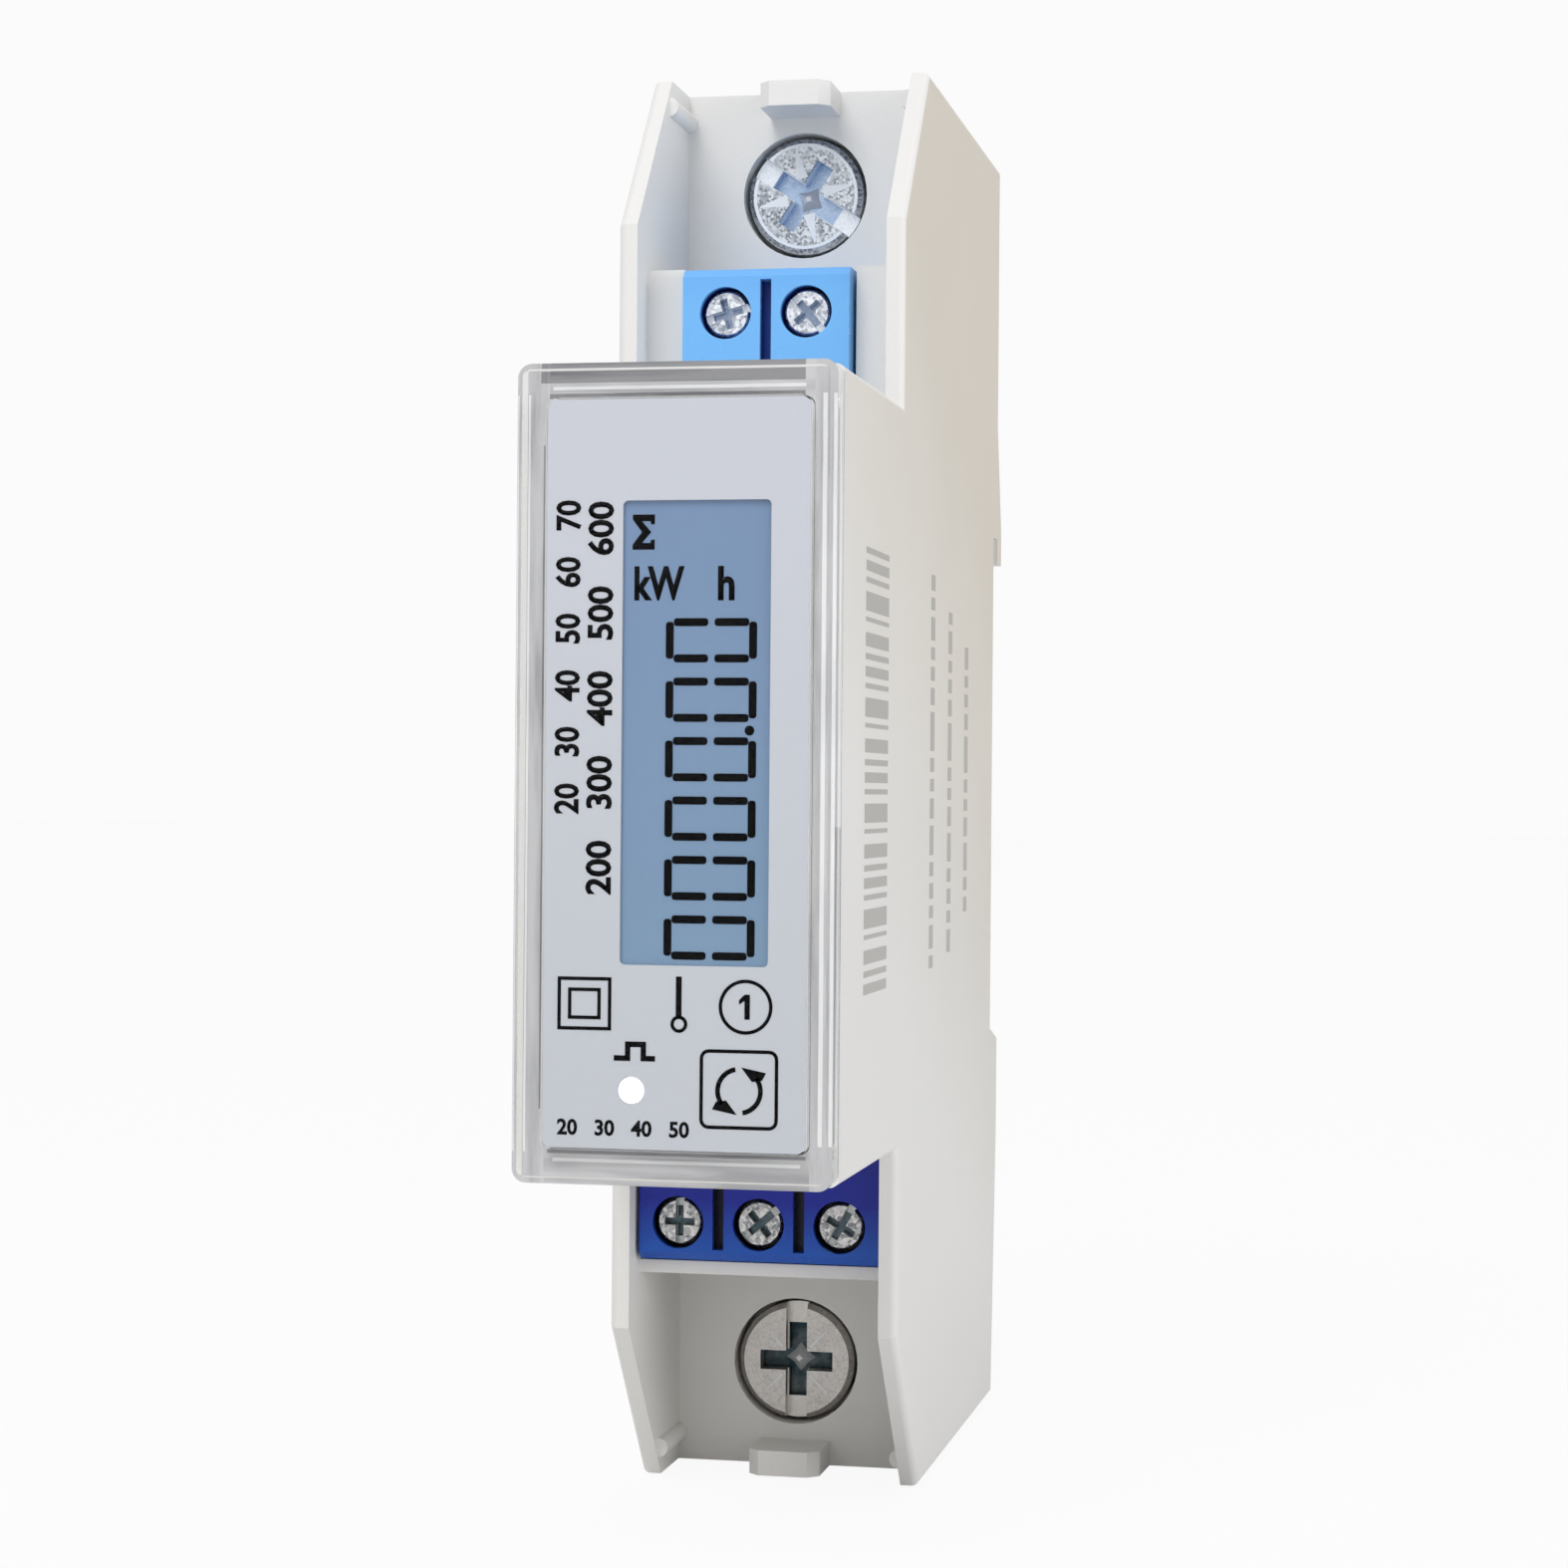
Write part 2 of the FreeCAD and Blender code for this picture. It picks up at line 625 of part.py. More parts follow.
def make_base_shell():
    """Left plate, walls, floors, hook and ends in one moulding."""
    body = new_body("base_shell")
    pad(body, "YZ_Plane", -half, -inner, [side_outline()])
    pad(body, "YZ_Plane", -inner, inner, [core_outline()])
    chambers = [
        rectangle(floor_inside, cavity_back, chamber_start, chamber_top),
        rectangle(floor_inside, cavity_back, -chamber_top, -chamber_start),
    ]
    pocket(body, "YZ_Plane", -inner, inner, [cavity_outline()] + chambers)
    add_recess_details(body)
    add_main_terminal_seats(body)
    add_board_supports(body)
    cut_signal_pin_holes(body)
    cut_clip_channel(body)
    dress(body, "Fillet", D.edge_round, lambda edge: long_plate_edge(edge, -half))
    return body


def add_recess_details(body):
    """Steps beside the upper block, the shelf, the cover hooks and the guide ribs."""
    step_inside = upper_block_half + D.block_gap
    steps = [
        rectangle(-inner, -step_inside, nose_top, step_top),
        rectangle(step_inside, inner, nose_top, step_top),
    ]
    pad(body, "XZ_Plane", step_front, floor, steps)
    pad(body, "XZ_Plane", step_front, floor, [rectangle(-inner, inner, -shelf_end, -shelf_top)])
    add_cover_hooks(body)
    add_guide_ribs(body, -inner)


def add_cover_hooks(body):
    """The hook for the terminal cover in the middle of each end."""
    wide = D.tab_width / 2
    narrow = wide - D.tab_corner
    tip = floor - D.tab_reach
    outline = [
        (-wide, floor),
        (wide, floor),
        (wide, tip + D.tab_corner),
        (narrow, tip),
        (-narrow, tip),
        (-wide, tip + D.tab_corner),
    ]
    pad(body, "XY_Plane", top - D.tab_thick, top, [outline])
    pad(body, "XY_Plane", -top, -top + D.tab_thick, [outline])


def add_guide_ribs(body, across):
    """Half-round ribs on the inner face of a plate, near both ends."""
    height = top - D.rib_inset
    circles = [(across, height, D.rib_radius), (across, -height, D.rib_radius)]
    pad(body, "XZ_Plane", floor - D.rib_reach, floor, circles=circles)


def add_main_terminal_seats(body):
    """Tubes round the screw heads, openings for screws and cables, slots for the busbars."""
    heights = (screw_height, -screw_height)
    pad(body, "XZ_Plane", floor, ledge_back, circles=[(Size(0), up, boss_radius) for up in heights])
    pocket(body, "XZ_Plane", floor, ledge_front, circles=[(Size(0), up, D.access_radius) for up in heights])
    shank = D.screw_radius + D.running
    pocket(body, "XZ_Plane", ledge_front, ledge_back, circles=[(Size(0), up, shank) for up in heights])
    slot = rectangle(*pair(D.bar_width / 2 + D.play), bar_front - D.play, bar_back + D.play)
    for start, end in ((cavity_end, chamber_start), (-chamber_start, -cavity_end)):
        pocket(body, "XY_Plane", start, end, [slot])
    for start, end in ((chamber_top, top), (-top, -chamber_top)):
        pocket(body, "XY_Plane", start, end, circles=[(Size(0), cable_y, D.cable_radius)])


def add_board_supports(body):
    """Stops for the display board and posts for the main board."""
    stop_low = nose_inside - D.stop_reach
    stops = [
        rectangle(*pair(D.display_board_half), stop_low, nose_inside),
        rectangle(*pair(D.display_board_half), -nose_inside, -stop_low),
    ]
    pad(body, "XZ_Plane", stop_front, stop_front + D.stop_thick, stops)
    post = D.post_size
    post_spots = (main_board_front + post, ear_front + post / 2)
    posts = []
    for depth in post_spots:
        posts.append(rectangle(depth, depth + post, main_board_top - post * 2, main_board_top - post))
        posts.append(rectangle(depth, depth + post, -main_board_top + post, -main_board_top + post * 2))
    pad(body, "YZ_Plane", -inner, main_board_left, posts)


def pin_square(across, up, gap):
    """Square outline round a contact pin."""
    reach = D.pin_size / 2 + gap
    return rectangle(as_size(across) - reach, as_size(across) + reach, up - reach, up + reach)


def cut_signal_pin_holes(body):
    """Holes for the contact pins in the floors, and windows for the wires in the shelf."""
    pin_z = block_inner + D.pin_inset
    squares = [pin_square(D.pole_pitch * number, pin_z, D.pin_play) for number in UPPER_POLES]
    squares += [pin_square(D.pole_pitch * number, -pin_z, D.pin_play) for number in LOWER_POLES]
    pocket(body, "XZ_Plane", floor, floor_inside, squares)
    reach = D.shelf_window / 2
    windows = []
    for number in LOWER_POLES:
        across = D.pole_pitch * number
        windows.append(rectangle(across - reach, across + reach, wire_y - reach, wire_y + reach))
    pocket(body, "XY_Plane", -shelf_end, -shelf_top, windows)


def cut_clip_channel(body):
    """The stepped channel that the clip slides in, with a relief for each arm bump."""
    flange = rectangle(*pair(flange_half + D.clip_gap), channel_front, channel_back)
    pocket(body, "XY_Plane", -top, shoulder + D.clip_gap, [flange])
    stem = rectangle(*pair(core_half + D.clip_gap), channel_front, D.lip_depth)
    pocket(body, "XY_Plane", -top, -notch_top, [stem])
    bump_high = shoulder - D.arm_top
    low = bump_high - D.bump_length - D.clip_travel - D.clip_gap
    reach = flange_half + D.bump_reach + D.clip_gap
    relief = [rectangle(-reach, reach, low, bump_high + D.clip_gap)]
    pocket(body, "XZ_Plane", channel_front, channel_back, relief)


def make_side_lid():
    """Right plate with its locating rim."""
    body = new_body("side_lid")
    pad(body, "YZ_Plane", inner, half, [side_outline()])
    rim_top = nose_inside - D.rim_gap
    rim_front = main_board_front
    rim_back = floor_inside
    strips = [
        rectangle(rim_front, rim_back, rim_top - D.rim_thick, rim_top),
        rectangle(rim_front, rim_back, -rim_top, -rim_top + D.rim_thick),
        rectangle(cavity_back - D.rim_gap - D.rim_thick, cavity_back - D.rim_gap, -lip_end, lip_end),
    ]
    pad(body, "YZ_Plane", inner - D.rim_deep, inner, strips)
    add_guide_ribs(body, inner)
    dress(body, "Fillet", D.edge_round, lambda edge: long_plate_edge(edge, half))
    return body


# Front of the nose
def make_clear_cover():
    """Clear cap over the label, with two tongues that plug into the nose."""
    body = new_body("clear_cover")
    pad(body, "XZ_Plane", front, rim, [rectangle(*pair(half), *pair(nose_top))])
    dress(body, "Fillet", D.cover_corner, lambda edge: near(edge.BoundBox.YLength, D.cover_depth))
    dress(body, "Chamfer", D.cover_edge, lambda edge: near(edge.BoundBox.YMax, front))
    frame = rectangle(*pair(half - D.cover_side), *pair(nose_top - D.cover_end))
    pocket(body, "XZ_Plane", cover_inside, rim, [frame])
    depth = rim - cover_inside
    dress(body, "Fillet", D.cover_inner_corner, lambda edge: corner_along_depth(edge, half - D.cover_side, depth))
    tongue_low = nose_inside - D.front_gap - D.tongue_thick
    tongue_high = nose_inside - D.front_gap
    tongues = [
        rectangle(*pair(D.tongue_width / 2), tongue_low, tongue_high),
        rectangle(*pair(D.tongue_width / 2), -tongue_high, -tongue_low),
    ]
    pad(body, "XZ_Plane", rim - D.slip, stop_front - D.play, tongues)
    return body


def edge_at(edge, across, length):
    """Whether an edge runs this far along the depth, at this place along the width."""
    return near(edge.BoundBox.YLength, length) and flat_at_x(edge, across)


def corner_along_depth(edge, across, length):
    """Whether an edge runs this far along the depth, this far to either side of the middle."""
    return edge_at(edge, across, length) or edge_at(edge, -across, length)


def display_frame(margin):
    """Outline round the display centre with a margin beyond the window."""
    return rectangle(
        display_start - margin, display_stop + margin, display_low - margin, display_high + margin
    )


def make_face_label():
    """Printed label with openings for the display and the light."""
    body = new_body("face_label")
    pad(body, "XZ_Plane", label_front, label_back, [rectangle(*pair(label_half), *pair(label_top))])
    hole = (led_across, led_up, D.pipe_radius + D.slip)
    pocket(body, "XZ_Plane", label_front, label_back, [display_frame(Size(0))], [hole])
    dress(body, "Fillet", label_corner, lambda edge: corner_along_depth(edge, label_half, D.label_thick))
    for side in (display_start, display_stop):
        dress(body, "Fillet", D.window_corner, lambda edge: edge_at(edge, side, D.label_thick))
    return body


def make_face_carrier():
    """White plate behind the label, with a rail down each side for the display board."""
    body = new_body("face_carrier")
    pad(body, "XZ_Plane", label_back, carrier_back, [rectangle(*pair(label_half), *pair(label_top))])
    rails = [
        rectangle(-label_half, -label_half + D.carrier_rail, *pair(label_top)),
        rectangle(label_half - D.carrier_rail, label_half, *pair(label_top)),
    ]
    pad(body, "XZ_Plane", carrier_back, board_front, rails)
    hole = (led_across, led_up, D.pipe_radius + D.slip)
    pocket(body, "XZ_Plane", label_back, carrier_back, [display_frame(D.glass_margin + D.slip)], [hole])
    depth = board_front - label_back
    dress(body, "Fillet", label_corner, lambda edge: corner_along_depth(edge, label_half, depth))
    return body


def make_plate_body(label, start, end, outline, holes=(), circles=()):
    """A flat piece parallel to the front."""
    body = new_body(label)
    pad(body, "XZ_Plane", start, end, [outline] + list(holes), circles)
    return body


def make_display():
    """Glass, backlight, display board, and what stands on the board."""
    window_pane = display_frame(D.glass_margin)
    glass = make_plate_body("display_glass", glass_front, glass_back, window_pane)
    light_frame = display_frame(D.glass_margin - D.light_margin)
    light = make_plate_body("display_backlight", light_front, light_back, light_frame)
    board_tall = nose_inside - D.display_board_inset
    board_outline = rectangle(*pair(D.display_board_half), *pair(board_tall))
    board = make_plate_body("display_board", board_front, board_back, board_outline)
    led_half = D.led_size / 2
    led_top = board_front - D.led_thick
    led = box(
        "pulse_led",
        (led_across - led_half, led_across + led_half),
        (led_top, board_front),
        (led_up - led_half, led_up + led_half),
    )
    stem = rod("pipe_stem", "y", (led_across, led_up), label_front, led_top - D.slip, D.pipe_radius)
    flange_front, flange_reach = carrier_back + D.slip, D.pipe_flange / 2
    flange = box(
        "pipe_flange",
        (led_across - flange_reach, led_across + flange_reach),
        (flange_front, flange_front + D.ledge),
        (led_up - flange_reach, led_up + flange_reach),
    )
    light_pipe = joined("light_pipe", [stem, flange])
    key_half = D.key_size / 2
    touch_pad = box(
        "touch_pad",
        (key_across - key_half, key_across + key_half),
        (carrier_back, board_front),
        (key_up - key_half, key_up + key_half),
    )
    return [glass, light, board, led, light_pipe, touch_pad]


# Electronics
def main_board_outline():
    """The main board, seen from the side, with ears behind the floors."""
    upper = [
        (main_board_front, main_board_top),
        (ear_front, main_board_top),
        (ear_front, ear_top),
        (main_board_back, ear_top),
    ]
    lower = [(depth, -up) for depth, up in reversed(upper)]
    return upper + lower


def make_main_board():
    body = new_body("main_board")
    pad(body, "YZ_Plane", main_board_left, main_board_right, [main_board_outline()])
    return body


def board_place(name):
    """Depth and height of the middle of a piece on the main board."""
    depth, height = front + getattr(D, f"{name}_depth"), getattr(D, f"{name}_height")
    start = BOARD_PLACES[name][2]
    if start == "middle":
        return depth, height
    inside = nose_inside - height
    return depth, inside if start == "upper wall" else -inside


def make_chip(label, wide, tall, leads, pitch):
    """Chip on the main board with a row of leads along both long sides."""
    depth, up = board_place(label)
    left, right = depth - wide / 2, depth + wide / 2
    body = new_body(label)
    seat = main_board_right + D.chip_lift
    pad(body, "YZ_Plane", seat, seat + D.chip_thick, [rectangle(left, right, up - tall / 2, up + tall / 2)])
    rows = []
    for number in range(leads):
        middle = up + pitch * (number - (leads - 1) / 2)
        low, high = middle - D.lead_wide / 2, middle + D.lead_wide / 2
        rows.append(rectangle(left - D.lead_reach, left, low, high))
        rows.append(rectangle(right, right + D.lead_reach, low, high))
    pad(body, "YZ_Plane", main_board_right, seat + D.lead_thick, rows)
    return body


def on_board(name, place, wide, tall, high):
    """Block that stands on the main board."""
    depth, up = place
    across = (main_board_right, main_board_right + high)
    return box(name, across, (depth - wide / 2, depth + wide / 2), (up - tall / 2, up + tall / 2))


def make_bulk_capacitor():
    """Round can on end."""
    can = rod("bulk_capacitor", "x", board_place("bulk_capacitor"), main_board_right, inner - D.lid_gap, D.can_radius)
    can.Label = "bulk_capacitor"
    return can


def lead(name, across, depth, up):
    """Square wire between two places along the width or the height."""
    reach = D.lead_wire / 2
    span = (up - reach, up + reach) if isinstance(up, Size) else up
    return box(name, across, (depth - reach, depth + reach), span)


def make_varistor():
    """Disc on edge with two leads."""
    depth, up = board_place("varistor")
    across = main_board_right + D.disc_lift + D.disc_radius
    start = depth - D.disc_thick / 2
    pieces = [rod("varistor_disc", "y", (across, up), start, start + D.disc_thick, D.disc_radius)]
    for side in (-1, 1):
        pieces.append(lead("varistor_lead", (main_board_right, across), depth, up + D.disc_pitch / 2 * side))
    return joined("varistor", pieces)


def make_fuse_resistor():
    """Round body lying over the board on two bent leads."""
    depth, up = board_place("fuse_resistor")
    across = main_board_right + D.fuse_lift
    body_half, reach = D.fuse_length / 2, D.fuse_pitch / 2
    wire_half = D.lead_wire / 2
    pieces = [rod("fuse_core", "z", (across, depth), up - body_half, up + body_half, D.fuse_radius)]
    wire_across = (across - wire_half, across + wire_half)
    pieces.append(lead("fuse_wire", wire_across, depth, (up - reach, up + reach)))
    for side in (-1, 1):
        pieces.append(lead("fuse_leg", (main_board_right, across + wire_half), depth, up + reach * side))
    return joined("fuse_resistor", pieces)


def make_crystal():
    """Flat can with round ends."""
    depth, up = board_place("crystal")
    end = main_board_right + D.crystal_high
    pieces = [on_board("crystal_middle", (depth, up), D.crystal_radius * 2, D.crystal_pitch, D.crystal_high)]
    for side in (-1, 1):
        spot = (depth, up + D.crystal_pitch / 2 * side)
        pieces.append(rod("crystal_end", "x", spot, main_board_right, end, D.crystal_radius))
    return joined("crystal", pieces)


def make_components():
    """The parts on the main board."""
    film_place, coupler_place = board_place("film_capacitor"), board_place("optocoupler")
    return [
        make_chip("metering_chip", D.metering_wide, D.metering_tall, 8, D.metering_pitch),
        make_chip("controller_chip", D.controller_size, D.controller_size, 8, D.controller_pitch),
        on_board("film_capacitor", film_place, D.film_wide, D.film_tall, inner - D.lid_gap - main_board_right),
        on_board("optocoupler", coupler_place, D.coupler_wide, D.coupler_tall, D.coupler_high),
        make_bulk_capacitor(),
        make_varistor(),
        make_fuse_resistor(),
        make_crystal(),
    ]


def make_board_link():
    """Pin strip from the display board to the main board, notched between its pins."""
    body = new_body("board_link")
    depth, up = board_place("board_link")
    start = board_back + D.slip
    end = start + (depth - start) * 2
    low, high = up - D.link_length / 2, up + D.link_length / 2
    outside = main_board_right + D.link_thick
    pad(body, "YZ_Plane", main_board_right, outside, [rectangle(start, end, low, high)])
    notches = []
    for number in (-1.5, -0.5, 0.5, 1.5):
        middle = up + D.link_pitch * number
        notches.append(rectangle(start, end, middle - D.link_notch / 2, middle + D.link_notch / 2))
    pocket(body, "YZ_Plane", outside - D.link_notch, outside, notches)
    return body


def make_terminal_board(label, sign, poles):
    """Small board behind a floor that carries the contact pins of one block."""
    pin_z = block_inner + D.pin_inset
    low = nose_inside + D.small_board_end
    high = ear_top
    span = (low, high) if sign > 0 else (-high, -low)
    holes = [pin_square(D.pole_pitch * number, pin_z * sign, D.slip) for number in poles]
    outline = rectangle(main_board_right, inner - D.small_board_end, *span)
    return make_plate_body(label, small_board_front, small_board_back, outline, holes)


# Current path
def make_busbar(label, sign):
    """Copper strip from one cage to the shunt, narrower between the terminals."""
    near_end = D.shunt_length / 2
    shoulder_z = chamber_start - D.bar_edge
    far_end = chamber_top - D.bar_edge / 2
    wide, neck = D.bar_width / 2, D.bar_neck / 2
    outline = [
        (-neck, near_end * sign),
        (neck, near_end * sign),
        (neck, shoulder_z * sign),
        (wide, (shoulder_z + D.play) * sign),
        (wide, far_end * sign),
        (-wide, far_end * sign),
        (-wide, (shoulder_z + D.play) * sign),
        (-neck, shoulder_z * sign),
    ]
    body = new_body(label)
    pad(body, "XZ_Plane", bar_front, bar_back, [outline])
    return body


def make_shunt():
    """Resistance strip between the two busbars, waisted in the middle."""
    wide, end = D.bar_neck / 2, D.shunt_length / 2
    waist, waist_end = D.shunt_waist / 2, D.waist_length / 2
    taper_end = waist_end + D.waist_taper
    half_side = [(wide, -end), (wide, -taper_end), (waist, -waist_end)]
    half_side += [(waist, waist_end), (wide, taper_end), (wide, end)]
    outline = half_side + [(-across, up) for across, up in reversed(half_side)]
    body = new_body("current_shunt")
    shunt_front = bar_front + (D.bar_thick - D.shunt_thick) / 2
    pad(body, "XZ_Plane", shunt_front, shunt_front + D.shunt_thick, [outline])
    return body


def make_sense_lead(label, sign):
    """Bent wire from one end of the shunt to the main board."""
    wire = D.sense_wire
    shunt_front = bar_front + (D.bar_thick - D.shunt_thick) / 2
    up = (D.shunt_length / 2 - wire) * sign
    across = -D.bar_neck / 2 + wire * 2
    bend = main_board_back - wire * 2
    low, high = up - wire / 2, up + wire / 2
    riser = box(f"{label}_riser", (across, across + wire), (bend, shunt_front), (low, high))
    arm = box(f"{label}_arm", (main_board_right, across + wire), (bend, bend + wire), (low, high))
    return joined(label, [riser, arm])


# Main terminals
def make_main_cage(label, sign):
    """Box clamp round the busbar and the cable, with a threaded front plate."""
    body = new_body(label)
    low = screw_height - D.main_length / 2
    high = screw_height + D.main_length / 2
    span = (low, high) if sign > 0 else (-high, -low)
    outside = rectangle(*pair(cage_half), plate_open, cage_back)
    space = rectangle(*pair(D.main_inside / 2), plate_open + D.main_plate, cage_floor)
    pad(body, "XY_Plane", *span, [outside, space])
    dress(
        body,
        "Chamfer",
        D.cage_bevel,
        lambda edge: near(edge.BoundBox.ZLength, D.main_length) and near(abs(edge.CenterOfMass.x), cage_half),
    )
    hole = (Size(0), screw_height * sign, D.screw_radius + D.slip)
    pocket(body, "XZ_Plane", plate_open, plate_open + D.main_plate, circles=[hole])
    ridges = []
    for number in (-1, 0, 1):
        middle = (screw_height + D.ridge_pitch * number) * sign
        ridges.append(rectangle(*pair(D.main_inside / 2), middle - D.ridge_wide / 2, middle + D.ridge_wide / 2))
    pad(body, "XZ_Plane", cage_floor - D.ridge_high, cage_floor, ridges)
    return body


def turned_bar(span, wide, degrees):
    """Rectangle about the middle, turned in its plane, with its size tied to the sheet."""
    turn = FreeCAD.Rotation(Vector(0, 0, 1), degrees)
    corners = []
    for side_u, side_v in ((-1, -1), (1, -1), (1, 1), (-1, 1)):
        along = turn.multVec(Vector(side_u, 0, 0))
        over = turn.multVec(Vector(0, side_v, 0))
        across = span / 2 * round(along.x, 9) + wide / 2 * round(over.x, 9)
        up = span / 2 * round(along.y, 9) + wide / 2 * round(over.y, 9)
        corners.append((across, up))
    return corners


def make_screw(label, size, places, degrees):
    """Screw along the depth: turned head and shank, then the slot and the cross.

    places holds the head front, head back and tip.
    """
    body = new_body(label)
    head_start, head_end, tip = places
    sketch = new_sketch(body, "XY_Plane", Size(0))
    profile = [
        (Size(0), head_start),
        (size.head - size.bevel, head_start),
        (size.head, head_start + size.bevel),
        (size.head, head_end),
        (size.shank, head_end),
        (size.shank, tip),
        (Size(0), tip),
    ]
    add_outline(sketch, profile)
    turned = body.newObject("PartDesign::Revolution", label + "_turned")
    turned.Profile = sketch
    turned.ReferenceAxis = (sketch, ["V_Axis"])
    turned.Angle = 360
    doc.recompute()
    driver_slot = turned_bar(size.head * 2 + D.play, size.slot, degrees)
    pocket(body, "XZ_Plane", head_start, head_start + size.slot_deep, [driver_slot])
    for turn in (degrees, degrees + 90):
        arm = turned_bar(size.cross, size.cross_wide, turn)
        pocket(body, "XZ_Plane", head_start, head_start + size.cross_deep, [arm])
    return body


def make_main_screw(label, sign, degrees):
    size = SimpleNamespace(
        head=D.head_radius,
        bevel=D.main_bevel,
        shank=D.screw_radius,
        slot=D.main_slot,
        slot_deep=D.main_slot_deep,
        cross=D.main_cross,
        cross_wide=D.main_cross_wide,
        cross_deep=D.main_cross_deep,
    )
    body = make_screw(label, size, (head_front, head_back, screw_tip), degrees)
    bind(body, "Placement.Base.z", screw_height * sign)
    return body


# Signal terminals
def make_signal_block(label, sign, poles, half_wide, face, screw_z):
    """Insulating block with a stepped screw opening, a cage chamber and a wire entry per pole."""
    body = new_body(label)
    span = (block_inner, face) if sign > 0 else (-face, -block_inner)
    pad(body, "XZ_Plane", block_front, block_back, [rectangle(*pair(half_wide), *span)])
    face_edge = face * sign
    dress(
        body,
        "Chamfer",
        D.edge_round,
        lambda edge: near(edge.BoundBox.YMax, block_front) and near(edge.BoundBox.ZMax, face_edge)
        and near(edge.BoundBox.ZMin, face_edge),
    )
    screw_z = screw_z * sign
    centres = [D.pole_pitch * number for number in poles]
    openings = [(across, screw_z, D.signal_hole) for across in centres]
    pocket(body, "XZ_Plane", block_front, signal_ledge_front, circles=openings)
    shanks = [(across, screw_z, D.signal_shank + D.running) for across in centres]
    pocket(body, "XZ_Plane", signal_ledge_front, signal_ledge_back, circles=shanks)
    chamber_half = D.signal_inside / 2 + D.signal_side + D.play
    chamber_face = (face - D.block_wall) * sign
    chamber_inner = (screw_z * sign * 2 - (face - D.block_wall)) * sign
    low, high = (chamber_inner, chamber_face) if sign > 0 else (chamber_face, chamber_inner)
    chambers = [rectangle(across - chamber_half, across + chamber_half, low, high) for across in centres]
    pocket(body, "XZ_Plane", signal_ledge_back, signal_chamber_back, chambers)
    pin_z = (block_inner + D.pin_inset) * sign
    pin_low, pin_high = pin_z - D.pin_size / 2 - D.slip, pin_z + D.pin_size / 2 + D.slip
    near_low, near_high = (pin_low, chamber_inner) if sign > 0 else (chamber_inner, pin_high)
    contact_half = D.contact_width / 2 + D.slip
    seats = [rectangle(across - contact_half, across + contact_half, near_low, near_high) for across in centres]
    pocket(body, "XZ_Plane", contact_front - D.slip, contact_back + D.slip, seats)
    tunnels = [pin_square(across, pin_z, D.slip) for across in centres]
    pocket(body, "XZ_Plane", contact_back, block_back, tunnels)
    entries = [(across, wire_y, D.wire_radius) for across in centres]
    start, end = (face - D.block_wall, face) if sign > 0 else (-face, -face + D.block_wall)
    pocket(body, "XY_Plane", start, end, circles=entries)
    cut_pole_slots(body, sign, poles, face)
    return body


def cut_pole_slots(body, sign, poles, face):
    """Slots in the front face between neighbouring poles."""
    inset = D.block_slot
    span = (block_inner + inset * 2, face - inset) if sign > 0 else (-face + inset, -block_inner - inset * 2)
    slots = []
    for number in poles[:-1]:
        middle = D.pole_pitch * (number + 0.5)
        slots.append(rectangle(middle - D.block_slot / 2, middle + D.block_slot / 2, *span))
    pocket(body, "XZ_Plane", block_front, block_front + D.block_slot_deep, slots)


def signal_span(sign, face, screw_z):
    """Height range of a cage, centred on its screw and clear of the block's outer wall."""
    reach = (face - D.block_wall - screw_z) - D.slip * 2
    middle = screw_z * sign
    return middle - reach, middle + reach


def make_signal_cage(label, across, sign, face, screw_z):
    """Small box clamp of one signal pole."""
    body = new_body(label)
    outside_half = D.signal_inside / 2 + D.signal_side
    outside = rectangle(across - outside_half, across + outside_half, signal_open, signal_cage_back)
    space_half = D.signal_inside / 2
    space = rectangle(across - space_half, across + space_half, signal_open + D.signal_plate, signal_floor)
    pad(body, "XY_Plane", *signal_span(sign, face, screw_z), [outside, space])
    hole = (across, screw_z * sign, D.signal_shank + D.slip)
    pocket(body, "XZ_Plane", signal_open, signal_open + D.signal_plate, circles=[hole])
    return body


def make_signal_contact(label, across, sign, face, screw_z):
    """Tinned contact under a signal screw, with the pin to the terminal board."""
    pin_z = (block_inner + D.pin_inset) * sign
    low, high = signal_span(sign, face, screw_z)
    pin_half = D.pin_size / 2
    span = (pin_z - pin_half, high) if sign > 0 else (low, pin_z + pin_half)
    body = new_body(label)
    wide = D.contact_width / 2
    pad(body, "XZ_Plane", contact_front, contact_back, [rectangle(across - wide, across + wide, *span)])
    pad(body, "XZ_Plane", contact_back, pin_tip, [pin_square(across, pin_z, Size(0))])
    return body


def make_signal_screw(label, across, sign, screw_z, degrees):
    size = SimpleNamespace(
        head=D.signal_head,
        bevel=D.signal_bevel,
        shank=D.signal_shank,
        slot=D.signal_slot,
        slot_deep=D.signal_slot_deep,
        cross=D.signal_cross,
        cross_wide=D.signal_cross_wide,
        cross_deep=D.signal_cross_deep,
    )
    body = make_screw(label, size, (signal_front, signal_back, contact_front - D.slip), degrees)
    bind(body, "Placement.Base.x", across)
    bind(body, "Placement.Base.z", screw_z * sign)
    return body


